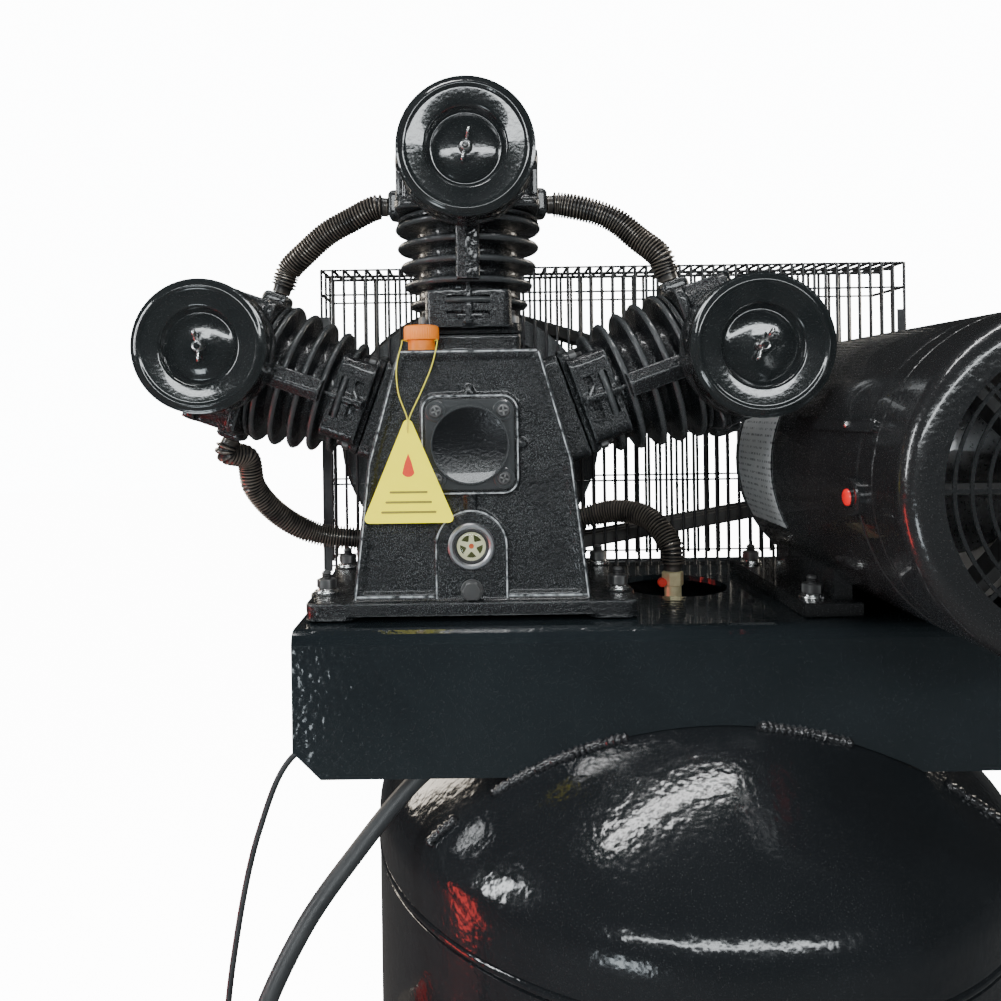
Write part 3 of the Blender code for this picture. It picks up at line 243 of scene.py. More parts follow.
def lamp(name, spot, target, size, power, color=(1, 1, 1)):
    data = bpy.data.lights.new(name, "AREA")
    data.shape = "RECTANGLE"
    data.size, data.size_y = size
    data.energy = power
    data.color = color
    holder = bpy.data.objects.new(name, data)
    holder.location = spot
    aim = Vector(target) - Vector(spot)
    holder.rotation_euler = aim.to_track_quat("-Z", "Y").to_euler()
    bpy.context.scene.collection.objects.link(holder)


middle = Vector((pump_x, -0.1, crank_z))
lamp("long_strip", middle + Vector((0.3, -3.4, 1.15)), middle, (4.2, 0.34), 85, (0.93, 0.98, 1))
lamp("window_left", middle + Vector((-2.2, -0.7, 0.7)), middle, (0.22, 1.3), 26, (0.95, 0.98, 1))
lamp("overhead", middle + Vector((0.1, -0.25, 1.9)), middle, (1.9, 0.12), 26)
lamp("low_front", middle + Vector((-1.15, -2.5, -1.05)), middle, (0.55, 0.50), 9, (0.85, 0.95, 1))
lamp("back_left", middle + Vector((-1.7, 1.5, 0.9)), middle, (0.5, 1.4), 30, (1, 0.90, 0.76))
lamp("back_right", middle + Vector((2.0, 1.4, 0.8)), middle, (0.6, 1.2), 26, (1, 0.92, 0.80))
low_left = middle + Vector((-1.6, -0.2, -0.9))
lamp("red_neighbour", low_left, middle + Vector((0.2, 0, -0.6)), (0.3, 0.8), 7, (1, 0.06, 0.05))

# ---- Tank --------------------------------------------------------------------------------------
# A rolled 5 mm steel shell with a pressed dished head welded on each end, all in gloss black enamel
# with a fine orange peel. The weld between head and shell shows as a low bead.


def enamel(name, color=(0.006, 0.0075, 0.009), gloss=0.10, peel=0.00012, grain=230.0, coat=0.6):
    """Gloss black enamel on sheet steel: orange peel, faint dust and a few dull smears."""
    paint = Finish(name, IOR=1.5, Coat_Roughness=0.04)
    smear = paint.noise(9.0, 4.0)
    dust = paint.ramp(paint.noise(900.0, 2.0), (0.60, 0.0), (0.74, 1.0))
    tint = paint.mix(smear, color, tuple(c * 2.1 + 0.002 for c in color))
    paint.set(Base_Color=paint.mix(dust * 0.10, tint, (0.16, 0.16, 0.155)))
    paint.set(Roughness=smear * 0.10 + dust * 0.15 + (gloss - 0.03), Coat_Weight=coat)
    waves = paint.noise(grain, 1.5, 0.4) + paint.noise(38.0, 2.0) * 0.9
    paint.set(Normal=paint.bump(waves, peel * 6, 0.45))
    return paint.material


def adopt(name, form_or_mesh, finish, body="base", stands_for=(), slot="black_paint", crease=38):
    """Make a piece that rides a body, from geometry already in the row frame."""
    mesh = form_or_mesh
    if isinstance(form_or_mesh, bmesh.types.BMesh):
        mesh = bpy.data.meshes.new(name)
        form_or_mesh.to_mesh(mesh)
        form_or_mesh.free()
    mesh.materials.clear()
    mesh.materials.append(finish)
    mesh.shade_smooth()
    mesh.set_sharp_from_angle(angle=math.radians(crease))
    obj = bpy.data.objects.new(name, mesh)
    bpy.context.scene.collection.objects.link(obj)
    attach(obj, body)
    if stands_for:
        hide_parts(*stands_for)
    return obj


def turn(form, profile, where=Matrix(), steps=64, closed=False):
    """Add a turned shape: (radius, height) pairs running down the outside, about the frame's Z."""
    rings = []
    for radius, height in profile:
        if radius < 1e-6:
            rings.append([form.verts.new(where @ Vector((0, 0, height)))])
            continue
        ring = []
        for i in range(steps):
            angle = 2 * math.pi * i / steps
            spot = Vector((radius * math.cos(angle), radius * math.sin(angle), height))
            ring.append(form.verts.new(where @ spot))
        rings.append(ring)
    pairs = list(zip(rings, rings[1:]))
    if closed:
        pairs.append((rings[-1], rings[0]))
    for upper, lower in pairs:
        for i in range(steps):
            j = (i + 1) % steps
            if len(upper) == 1 and len(lower) == 1:
                continue
            if len(upper) == 1:
                form.faces.new((upper[0], lower[i], lower[j]))
            elif len(lower) == 1:
                form.faces.new((upper[j], upper[i], lower[0]))
            else:
                form.faces.new((upper[j], upper[i], lower[i], lower[j]))


def turned(name, profile, where, steps, finish, *fit, closed=False, **more):
    """Make a piece that is one turned shape."""
    form = bmesh.new()
    turn(form, profile, where, steps, closed)
    return adopt(name, form, finish, *fit, **more)


def arc(radius, start, end, count, centre=(0, 0)):
    """Points on an arc, angles in degrees, both ends in."""
    points = []
    for i in range(count + 1):
        angle = math.radians(start + (end - start) * i / count)
        points.append((centre[0] + radius * math.cos(angle), centre[1] + radius * math.sin(angle)))
    return points


crown_r = 0.430
knuckle_r = 0.060
head_rise = crown_r - math.sqrt((crown_r - knuckle_r) ** 2 - (tank_r - knuckle_r) ** 2)


def dished(radius, spring, sign):
    """Outer curve of a dished head from the shell's edge to the pole."""
    inner = radius - knuckle_r
    meet = math.degrees(math.asin(inner / (crown_r - knuckle_r)))
    points = [(inner + x, spring + sign * z) for x, z in arc(knuckle_r, 0, 90 - meet, 10)]
    pole = spring + sign * head_rise
    for i in range(1, 25):
        angle = math.radians(meet * (1 - i / 24))
        points.append((crown_r * math.sin(angle), pole - sign * crown_r * (1 - math.cos(angle))))
    return points


spring_high = tank_high.z - head_rise
spring_low = tank_low.z + head_rise
tank_axis = Matrix.Translation((tank_x, 0, 0))
tank_paint = enamel("tank_enamel", (0.006, 0.007, 0.008), 0.11, 0.00016, 150.0, coat=0.15)
wall = 0.0012
profile = list(reversed(dished(tank_r - wall, spring_high, 1)))
for seam in (spring_high - 0.030, spring_low + 0.030):
    bead = [(x, z) for x, z in arc(0.0045, 70, -70, 6, (tank_r - 0.0048, seam))]
    profile += [(tank_r - wall, bead[0][1] + 0.001), *bead, (tank_r - wall, bead[-1][1] - 0.001)]
profile += dished(tank_r - wall, spring_low, -1)
drain_hole = 0.012
profile = [(max(x, 0.0), z) for x, z in profile]
profile[-1] = (drain_hole, tank_low.z)
profile.append((drain_hole, tank_low.z + 0.005))
turned("tank_body", profile, tank_axis, 128, tank_paint, stands_for=["tank_shell"])

# ---- Base skirt --------------------------------------------------------------------------------
# A rolled steel skirt under the lower head, welded to a flat foot ring, with four reach-through
# windows and four anchor holes. It has the tank's enamel, scuffed grey near the floor.

scuffed = Finish("scuffed_enamel", Coat_Weight=0.4, Coat_Roughness=0.1)
height = scuffed.node("SeparateXYZ", out="Z", Vector=scuffed.place())
scuff = scuffed.ramp(scuffed.noise(55.0, 6.0) - height * 1.2, (0.52, 0.0), (0.66, 1.0))
scuffed.set(Base_Color=scuffed.mix(scuff * 0.25, (0.008, 0.009, 0.010), (0.08, 0.076, 0.072)))
scuffed.set(Roughness=0.16 + scuff * 0.4, Normal=scuffed.bump(scuffed.noise(220.0, 2.0), 0.0006, 0.4))


def dress(node, finish, bevel=0.0, segments=2, angle=30):
    """Give a built node its finish, and round its edges with a Bevel modifier."""
    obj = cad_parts[node]
    obj.data.materials.clear()
    obj.data.materials.append(finish)
    obj.data.shade_smooth()
    obj.data.set_sharp_from_angle(angle=math.radians(35))
    if bevel:
        edge = obj.modifiers.new("edge", "BEVEL")
        edge.width = bevel
        edge.segments = segments
        edge.limit_method = "ANGLE"
        edge.angle_limit = math.radians(angle)
        edge.harden_normals = True


skirt_low, skirt_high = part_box("base_skirt")
foot_r = (skirt_high.x - skirt_low.x) / 2 - 0.0006
skirt_r = 0.296
foot_t = 0.006
skirt_top = skirt_high.z - 0.0006
profile = [(skirt_r - 0.0005, skirt_top), (skirt_r, skirt_high.z - 0.0016), (skirt_r, foot_t + 0.004)]
profile += [(skirt_r + 0.0013, foot_t + 0.0013), (skirt_r + 0.004, foot_t), (foot_r - 0.001, foot_t)]
profile += [(foot_r, foot_t - 0.001), (foot_r, 0.001), (foot_r - 0.001, 0.0)]
profile += [(skirt_r - 0.006, 0.0), (skirt_r - 0.006, skirt_top)]
fit = {"stands_for": ["base_skirt"], "closed": True}
skirt = turned("skirt_ring", profile, tank_axis, 112, scuffed.material, **fit)


def carve(obj, *forms):
    """Cut closed forms out of a piece and keep the result."""
    for form in forms:
        mesh = bpy.data.meshes.new("cutter")
        form.to_mesh(mesh)
        form.free()
        cutter = bpy.data.objects.new("cutter", mesh)
        bpy.context.scene.collection.objects.link(cutter)
        tool = obj.modifiers.new("carve", "BOOLEAN")
        tool.operation = "DIFFERENCE"
        tool.solver = "EXACT"
        tool.object = cutter
        graph = bpy.context.evaluated_depsgraph_get()
        result = bpy.data.meshes.new_from_object(obj.evaluated_get(graph))
        obj.modifiers.clear()
        obj.data = result
        bpy.data.objects.remove(cutter)
    obj.data.shade_smooth()
    obj.data.set_sharp_from_angle(angle=math.radians(38))


def slab(form, outline, low, high, where=Matrix(), edge=0.0):
    """Add a flat-ended bar of any convex or simple outline; edge trims its two rims."""
    centre = Vector((sum(x for x, _ in outline), sum(y for _, y in outline))) / len(outline)
    layers = [(low, 0.0), (high, 0.0)]
    if edge:
        layers = [(low, edge), (low + edge, 0.0), (high - edge, 0.0), (high, edge)]
    rings = []
    for z, inset in layers:
        ring = []
        for x, y in outline:
            out = Vector((x, y)) - centre
            spot = centre + out * (1 - inset / max(out.length, 1e-6))
            ring.append(form.verts.new(where @ Vector((spot.x, spot.y, z))))
        rings.append(ring)
    count = len(outline)
    for lower, upper in zip(rings, rings[1:]):
        for i in range(count):
            j = (i + 1) % count
            form.faces.new((lower[i], lower[j], upper[j], upper[i]))
    form.faces.new(list(reversed(rings[0])))
    form.faces.new(rings[-1])


def rounded(half_x, half_y, radius, count=6, centre=(0, 0)):
    """A rectangle's outline with round corners."""
    points = []
    for quarter, (sx, sy) in enumerate(((1, 1), (-1, 1), (-1, -1), (1, -1))):
        corner = (centre[0] + sx * (half_x - radius), centre[1] + sy * (half_y - radius))
        points += arc(radius, 90 * quarter, 90 * quarter + 90, count, corner)
    return points


def facing(x, y, z):
    """A frame whose X is right, Y is up and Z comes towards the viewer."""
    return Matrix.Translation((x, y, z)) @ Matrix.Rotation(math.radians(90), 4, "X")


def along_y(x, y, z):
    """A frame whose Z runs to the back."""
    return Matrix.Translation((x, y, z)) @ Matrix.Rotation(math.radians(-90), 4, "X")


for quarter in range(2):
    cutter = bmesh.new()
    where = tank_axis @ Matrix.Rotation(math.radians(90 * quarter), 4, "Z") @ facing(0, 0, 0.105)
    slab(cutter, rounded(0.075, 0.045, 0.03, 8), -0.5, 0.5, where)
    carve(skirt, cutter)
for quarter in range(4):
    cutter = bmesh.new()
    angle = math.radians(45 + 90 * quarter)
    spot = Matrix.Translation((tank_x + 0.336 * math.cos(angle), 0.336 * math.sin(angle), 0))
    turn(cutter, [(0, 0.03), (0.007, 0.03), (0.007, -0.01), (0, -0.01)], spot, 24)
    carve(skirt, cutter)

# ---- Platform ----------------------------------------------------------------------------------
# One 6 mm plate folded down front and back, its flanges cut out over the tank's head and held with
# short runs of hand weld, then painted with the rest.

deck_paint = enamel("platform_enamel", (0.0065, 0.009, 0.0105), 0.085, 0.00016, 170.0)
dress("platform", deck_paint, 0.0012, 2, 50)


def bead_material():
    paint = Finish("weld_enamel", Coat_Weight=0.7, Coat_Roughness=0.05)
    lumps = paint.noise(420.0, 3.0)
    paint.set(Base_Color=paint.mix(lumps, (0.007, 0.008, 0.009), (0.03, 0.03, 0.032)))
    paint.set(Roughness=0.12 + lumps * 0.2, Normal=paint.bump(lumps, 0.0010, 0.7))
    return paint.material


def sweep(form, points, radius, sides=10, caps=True):
    """Add a tube along points; radius is one number or a function of the point's index."""
    points = [Vector(p) for p in points]
    size = radius if callable(radius) else (lambda i: radius)
    way = (points[1] - points[0]).normalized()
    side = way.orthogonal().normalized()
    rings = []
    for i, point in enumerate(points):
        ahead = points[min(i + 1, len(points) - 1)] - points[max(i - 1, 0)]
        ahead.normalize()
        side = (side - ahead * side.dot(ahead)).normalized()
        up = ahead.cross(side)
        ring = []
        for k in range(sides):
            angle = 2 * math.pi * k / sides
            ring.append(form.verts.new(point + (side * math.cos(angle) + up * math.sin(angle)) * size(i)))
        rings.append(ring)
    for lower, upper in zip(rings, rings[1:]):
        for k in range(sides):
            n = (k + 1) % sides
            form.faces.new((lower[k], lower[n], upper[n], upper[k]))
    if caps:
        form.faces.new(list(reversed(rings[0])))
        form.faces.new(rings[-1])


def head_z(x, y):
    """Height of the upper head's outside at a place."""
    reach = math.hypot(x - tank_x, y)
    inner = tank_r - knuckle_r
    meet_r = crown_r * inner / (crown_r - knuckle_r)
    if reach <= meet_r:
        return tank_high.z - crown_r + math.sqrt(crown_r**2 - reach**2)
    return spring_high + math.sqrt(max(knuckle_r**2 - (reach - inner) ** 2, 0))


weld_paint = bead_material()
random.seed(7)
front_y = deck_low.y + 0.0005
for number, (start, end) in enumerate(((-0.205, -0.082), (0.032, 0.118), (-0.262, -0.236), (0.20, 0.262))):
    form = bmesh.new()
    for face_y in (front_y, -front_y):
        count = max(8, int((end - start) / 0.0016))
        line = []
        for i in range(count + 1):
            x = tank_x + start + (end - start) * i / count
            y = face_y + math.copysign(0.0012, face_y)
            aside = random.uniform(-0.0004, 0.0004)
            lift = random.uniform(-0.0005, 0.0005)
            line.append((x, y + aside, head_z(x, y) + 0.0015 + lift))
        sizes = []
        for i in range(count + 1):
            sizes.append(0.0042 + 0.0011 * math.sin(i * 1.9) + random.uniform(-0.0005, 0.0005))
        sizes[0] = sizes[-1] = 0.0015
        sweep(form, line, lambda i: sizes[i], 10)
    adopt(f"saddle_weld_{number + 1}", form, weld_paint, crease=80)

# ---- Crankcase ---------------------------------------------------------------------------------
# One sand-cast iron box: tapered body, wide foot, three machined seats for the cylinders, and on its
# front a ribbed arch round the sight glass. The skin is rough from the sand under thick gloss enamel;
# painted highlights lighten its raised edges and painted glints speckle it.


def casting(name, grit_and_glint=1.0, color=(0.007, 0.008, 0.009), gloss=0.17):
    """Gloss enamel over sand-cast iron: pitted and lumpy, with painted highlights where it stands proud and
    painted glints.
    """
    iron = Finish(name, Coat_Weight=0.45, Coat_Roughness=0.05, IOR=1.45)
    sand = iron.noise(820.0, 2.0, 0.5)
    lumps = iron.noise(330.0, 1.0)
    pits = iron.ramp(iron.noise(520.0, 2.0), (0.30, 0.0), (0.42, 1.0))
    # Painted highlight: convex edges, found by pointiness, turn light grey.
    painted_edge_highlight = iron.ramp(iron.node("NewGeometry", out="Pointiness"), (0.515, 0.0), (0.60, 1.0))
    sparkle_light_patches = iron.ramp(iron.noise(22.0, 3.0), (0.35, 0.15), (0.65, 1.0))
    # Painted glints: bright specks of sand sparkle, stronger in patches of painted light.
    painted_sparkle = iron.ramp(iron.noise(1050.0, 1.0), (0.58, 0.0), (0.70, 1.0))
    bright = iron.mix(painted_sparkle * sparkle_light_patches * (0.42 * grit_and_glint * grit_and_glint), color, (0.22, 0.235, 0.24))
    iron.set(Base_Color=iron.mix(painted_edge_highlight * 0.5, bright, (0.15, 0.16, 0.165)))
    iron.set(Roughness=gloss + sand * 0.10)
    iron.set(Normal=iron.bump(sand * 0.8 + lumps * 1.3 + pits * 0.3, 0.0011 * grit_and_glint, 0.75))
    return iron.material


case_iron = casting("casting_enamel")
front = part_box("crankcase")[0].y + 0.012
back = 0.050
crown = 0.0895
foot_top = deck + 0.018
bank_angles = {"left": 160.5, "top": 90.0, "right": 19.5}
seat_r = 0.108
barrel_l = 0.123


def bank_frame(bank, radius=0.0):
    """A cylinder's frame: Z out along its axis, Y to the back, from the crank axis."""
    low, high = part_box(f"cylinder_head_{bank}")
    angle = math.radians(bank_angles[bank])
    out = Vector((math.cos(angle), 0, math.sin(angle)))
    aft = Vector((0, 1, 0))
    frame_ = Matrix((aft.cross(out), aft, out)).transposed().to_4x4()
    frame_.translation = Vector((pump_x, (low.y + high.y) / 2, crank_z)) + out * radius
    return frame_


def remeshed(form, voxel, rounds=4, factor=0.5):
    """Fuse overlapping closed forms into one skin with the soft edges of a casting."""
    mesh = bpy.data.meshes.new("blank")
    form.to_mesh(mesh)
    form.free()
    blank = bpy.data.objects.new("blank", mesh)
    bpy.context.scene.collection.objects.link(blank)
    skin = blank.modifiers.new("skin", "REMESH")
    skin.mode = "VOXEL"
    skin.voxel_size = voxel
    relax = blank.modifiers.new("relax", "SMOOTH")
    relax.iterations = rounds
    relax.factor = factor
    graph = bpy.context.evaluated_depsgraph_get()
    result = bpy.data.meshes.new_from_object(blank.evaluated_get(graph))
    bpy.data.objects.remove(blank)
    return result


case_front = facing(pump_x, front, crank_z)
body_outline = [(0.1123, foot_top - crank_z - 0.004), (0.0968, -0.017), (0.0667, crown)]
body_outline += [(-x, y) for x, y in reversed(body_outline)]
form = bmesh.new()
slab(form, body_outline, -(back - front), 0.0, case_front)
foot_low = deck - crank_z + 0.0012
foot_z = foot_top - crank_z
foot_front = -0.1457
foot_back = 0.0767
upright = Matrix.Translation((pump_x, 0, crank_z))
foot_y = (foot_back + foot_front) / 2
foot_half_y = (foot_back - foot_front) / 2
slab(form, rounded(0.1562, foot_half_y, 0.012, 5, (0, foot_y)), foot_low + 0.0042, foot_z, upright)
for side in (-1, 1):
    pad = rounded(0.0242, foot_half_y, 0.012, 5, (side * 0.132, foot_y))
    slab(form, pad, foot_low, foot_z - 0.002, upright)
for bank in bank_angles:
    slab(form, rounded(0.0525, 0.0505, 0.008), 0.050, seat_r - 0.0006, bank_frame(bank))
    slab(form, rounded(0.047, 0.046, 0.006), 0.045, seat_r - 0.012, bank_frame(bank))


def band(form, line, half_width, low, high, where):
    """A raised rib that follows a line of points on a face."""
    left = []
    right = []
    points = [Vector(p) for p in line]
    for i, point in enumerate(points):
        ahead = (points[min(i + 1, len(points) - 1)] - points[max(i - 1, 0)]).normalized()
        across = Vector((-ahead.y, ahead.x)) * half_width
        left.append(point + across)
        right.append(point - across)
    rows = []
    for z in (low, high):
        rows.append([[form.verts.new(where @ Vector((p.x, p.y, z))) for p in rail] for rail in (left, right)])
    (low_left, low_right), (high_left, high_right) = rows
    for i in range(len(points) - 1):
        form.faces.new((high_left[i], high_right[i], high_right[i + 1], high_left[i + 1]))
        form.faces.new((low_left[i], low_left[i + 1], low_right[i + 1], low_right[i]))
        form.faces.new((low_left[i], high_left[i], high_left[i + 1], low_left[i + 1]))
        form.faces.new((low_right[i], low_right[i + 1], high_right[i + 1], high_right[i]))
    for i, way in ((0, 1), (-1, -1)):
        ring = [low_left[i], low_right[i], high_right[i], high_left[i]]
        form.faces.new(ring if way > 0 else list(reversed(ring)))


def pebbled(mesh, height, scale):
    """Push a skin in and out a little, as sand leaves it."""
    mesh.update()
    shifts = []
    for vertex in mesh.vertices:
        spot = vertex.co * scale
        shifts.append(vertex.normal * (noise.noise(spot) + 0.6 * noise.noise(spot * 2.3)) * height)
    for vertex, shift in zip(mesh.vertices, shifts):
        vertex.co += shift
    return mesh


arch_r = 0.033
arch_z = -0.095
arch_fill = [(arch_r, foot_z - 0.004), *arc(arch_r, 0, 180, 16, (0, arch_z)), (-arch_r, foot_z - 0.004)]
slab(form, arch_fill, -0.02, 0.0035, case_front)
slab(form, rounded(0.0045, 0.012, 0.001, 1, (0, -0.055)), -0.02, 0.0035, case_front)
slab(form, rounded(0.0452, 0.0462, 0.014), -0.02, 0.0030, case_front)
upper_wedge = [(-0.006, 0.044), (0.006, 0.044), (0.0015, 0.054), (-0.0015, 0.054)]
right_wedge = [(0.053, 0.0012), (0.053, -0.0012), (0.044, -0.0055), (0.044, 0.0055)]
for wedge in (upper_wedge, right_wedge):
    slab(form, wedge, -0.01, 0.0034, case_front)
for side in (-1, 1):
    edge_line = [(side * 0.1080, foot_z), (side * 0.0928, -0.017), (side * 0.0640, crown - 0.004)]
    band(form, edge_line, 0.0040, -0.01, 0.0020, case_front)
band(form, [(-0.064, crown - 0.0035), (0.064, crown - 0.0035)], 0.0035, -0.01, 0.0020, case_front)
for side in (-1, 1):
    foot_line = [(side * 0.036, foot_z + 0.003), (side * 0.110, foot_z + 0.003)]
    band(form, foot_line, 0.0030, -0.01, 0.0022, case_front)
for sx, sy in ((-1, -0.099), (1, -0.099), (-1, 0.034), (1, 0.034)):
    boss = Matrix.Translation((pump_x + sx * 0.143, sy, deck))
    turn(form, [(0, 0.0195), (0.0145, 0.0195), (0.0155, 0.0185), (0.016, 0.002), (0, 0.002)], boss, 24)
case_mesh = pebbled(remeshed(form, 0.0016, 2, 0.5), 0.00026, 300.0)
crankcase = adopt(
    "crankcase_casting", case_mesh, case_iron, stands_for=["crankcase"], slot="black_casting", crease=60
)
# Thin light beads along the front's edges, seat and arch, broken into dashes: painted highlights.
painted_edge_glint = Finish("painted_edge_glints", Coat_Weight=0.8, Roughness=0.25)
dashed_glint = painted_edge_glint.ramp(painted_edge_glint.noise(140.0, 4.0), (0.36, 0.0), (0.60, 1.0))
painted_edge_glint.set(Base_Color=painted_edge_glint.mix(dashed_glint, (0.03, 0.033, 0.035), (0.50, 0.53, 0.55)))
form = bmesh.new()
seat_edge = rounded(0.0447, 0.0457, 0.014)
arch_edge = [(arch_r, foot_z + 0.002), *arc(arch_r, 0, 180, 20, (0, arch_z)), (-arch_r, foot_z + 0.002)]
band(form, [*seat_edge, seat_edge[0]], 0.0007, 0.0010, 0.0036, case_front)
band(form, arch_edge, 0.0007, 0.0010, 0.0040, case_front)
for side in (-1, 1):
    edge_line = [(side * 0.1095, foot_z), (side * 0.0942, -0.017), (side * 0.0652, crown - 0.003)]
    band(form, edge_line, 0.0006, -0.001, 0.0026, case_front)
    foot_line = [(side * 0.0345, foot_z + 0.004), (side * 0.108, foot_z + 0.004)]
    band(form, foot_line, 0.0008, -0.001, 0.0028, case_front)
band(form, [(-0.064, crown - 0.002), (0.064, crown - 0.002)], 0.0006, -0.001, 0.0026, case_front)
adopt("case_edge_highlight_beads", form, painted_edge_glint.material, slot="black_casting", crease=80)
cutter = bmesh.new()
frame_gap = [(0, 0.02), (0.0372, 0.02), (0.0372, -0.004), (0, -0.004)]
turn(cutter, frame_gap, case_front, 48)
carve(crankcase, cutter)

# ---- Fasteners ---------------------------------------------------------------------------------
# Black hexagon nuts on studs, each on a bright zinc washer, hold the feet; the same nuts in a
# smaller size hold cylinders and heads. All are plain turned and forged steel.

nut_black = Finish("blacked_nut", Metallic=0.6, Coat_Weight=0.5, Coat_Roughness=0.1)
# Nut corners lightened by pointiness: painted edge highlight.
painted_edge_glint = nut_black.ramp(nut_black.node("NewGeometry", out="Pointiness"), (0.51, 0.0), (0.60, 1.0))
nut_black.set(Base_Color=nut_black.mix(painted_edge_glint, (0.015, 0.015, 0.016), (0.20, 0.20, 0.20)))
nut_black.set(Roughness=0.28 + nut_black.noise(300.0) * 0.2)
nut_black.set(Normal=nut_black.bump(nut_black.noise(500.0), 0.0004, 0.4))

zinc = Finish("bright_zinc", Metallic=1.0)
cloud = zinc.noise(160.0, 4.0)
zinc.set(Base_Color=zinc.mix(cloud, (0.62, 0.63, 0.64), (0.85, 0.85, 0.83)), Roughness=0.16 + cloud * 0.2)
zinc.set(Normal=zinc.bump(zinc.noise(700.0), 0.0003, 0.35))


def nut(form, where, across, low, high):
    """A hexagon with chamfered corners, across its flats, between two heights."""
    corner = across / 2 / math.cos(math.radians(30))
    flat = across / 2 * 0.96
    lip = (corner - flat) * 0.5
    rows = [(flat, high), (corner, high - lip), (corner, low + lip), (flat, low)]
    rings = []
    for radius, z in rows:
        ring = []
        for i in range(36):
            angle = math.radians(10 * i)
            hexagon = across / 2 / math.cos((angle % math.radians(60)) - math.radians(30))
            reach = min(radius, hexagon)
            ring.append(form.verts.new(where @ Vector((reach * math.cos(angle), reach * math.sin(angle), z))))
        rings.append(ring)
    for upper, lower in zip(rings, rings[1:]):
        for i in range(36):
            j = (i + 1) % 36
            form.faces.new((upper[j], upper[i], lower[i], lower[j]))
    form.faces.new(rings[0])
    form.faces.new(list(reversed(rings[-1])))


def stud(form, where, radius, low, high, threads=True):
    """A bolt end with a rounded tip and turned threads."""
    profile = [(0, high), (radius * 0.7, high), (radius * 0.95, high - radius * 0.35)]
    z = high - radius * 0.45
    pitch = radius * 0.35
    while threads and z - pitch > low:
        profile += [(radius, z), (radius * 0.86, z - pitch / 2)]
        z -= pitch
    profile += [(radius, low), (0, low)]
    turn(form, profile, where, 20)


def washer(form, where, radius, low, thick):
    top = low + thick
    profile = [(0, top), (radius - 0.0006, top), (radius, low + thick * 0.6), (radius, low), (0, low)]
    turn(form, profile, where, 32)


places = []
for sx in (-1, 1):
    for sy in (-0.099, 0.034):
        places.append(("pump", Matrix.Translation((pump_x + sx * 0.143, sy, deck + 0.0196)), 0.0170, 0.0050))
for sx in (-0.108, 0.108):
    for sy in (-0.126, 0.051):
        places.append(("motor", Matrix.Translation((motor_x + sx, sy, deck + 0.0142)), 0.0170, 0.0050))
for kind in ("pump", "motor"):
    nuts = bmesh.new()
    washers = bmesh.new()
    for owner, where, across, thread in places:
        if owner != kind:
            continue
        washer(washers, where, across * 0.72, 0.0, 0.0020)
        washer(washers, where, across * 0.54, 0.0020, 0.0018)
        nut(nuts, where, across, 0.0040, 0.0130)
        stud(nuts, where, thread, 0.0125, 0.0205)
    adopt(f"{kind}_foot_nuts", nuts, nut_black.material, slot="black_casting", crease=25)
    adopt(f"{kind}_foot_washers", washers, zinc.material, slot="zinc_steel")

# ---- Bearing cover, sight glass and drain ------------------------------------------------------
# A cast square cover with a raised machined disc, held by four cross-slot screws; under it a plastic
# oil sight with a star behind the lens, in an aluminium ring, and a hexagon drain plug.

cover_low, cover_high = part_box("bearing_cover")
cover_frame = facing(pump_x, cover_high.y, crank_z)
form = bmesh.new()
slab(form, rounded(0.0415, 0.0425, 0.012, 8), 0.0, 0.0072, cover_frame, 0.0012)
corners = [(sx, sy) for sx in (-1, 1) for sy in (-1, 1)]
screw_at = 0.0314
for sx, sz in corners:
    spot = cover_frame @ Matrix.Translation((sx * screw_at, sz * screw_at, 0))
    turn(form, [(0, 0.0092), (0.0088, 0.0092), (0.0100, 0.0080), (0.0102, 0.0), (0, 0.0)], spot, 28)
disc = [(0.0, 0.0128), (0.0338, 0.0128), (0.0348, 0.0133), (0.0362, 0.0133)]
disc += [(0.0368, 0.0124), (0.0368, 0.0), (0.0, 0.0)]
turn(form, disc, cover_frame, 72)
cover_iron = casting("cover_enamel", 0.25)
adopt("cover_casting", form, cover_iron, stands_for=["bearing_cover"], slot="black_casting")

form = bmesh.new()
screw = [(0, 0.0020), (0.0030, 0.0032), (0.0052, 0.0028), (0.0063, 0.0012), (0.0064, 0.0), (0, 0.0)]
for sx, sz in corners:
    spot = cover_frame @ Matrix.Translation((sx * screw_at, sz * screw_at, 0.0092))
    spot = spot @ Matrix.Rotation(sx * 0.7 + sz, 4, "Z")
    turn(form, screw, spot, 28)
    for quarter in range(2):
        cross = spot @ Matrix.Rotation(math.radians(90 * quarter), 4, "Z")
        slab(form, rounded(0.0040, 0.0008, 0.0004, 2), 0.0018, 0.0033, cross)
adopt("cover_screws", form, nut_black.material, slot="black_casting")


def mottled(name, scale, first, second, **constants):
    """A plain finish whose colour drifts a little between two tones."""
    paint = Finish(name, **constants)
    paint.set(Base_Color=paint.mix(paint.noise(scale), first, second))
    return paint.material


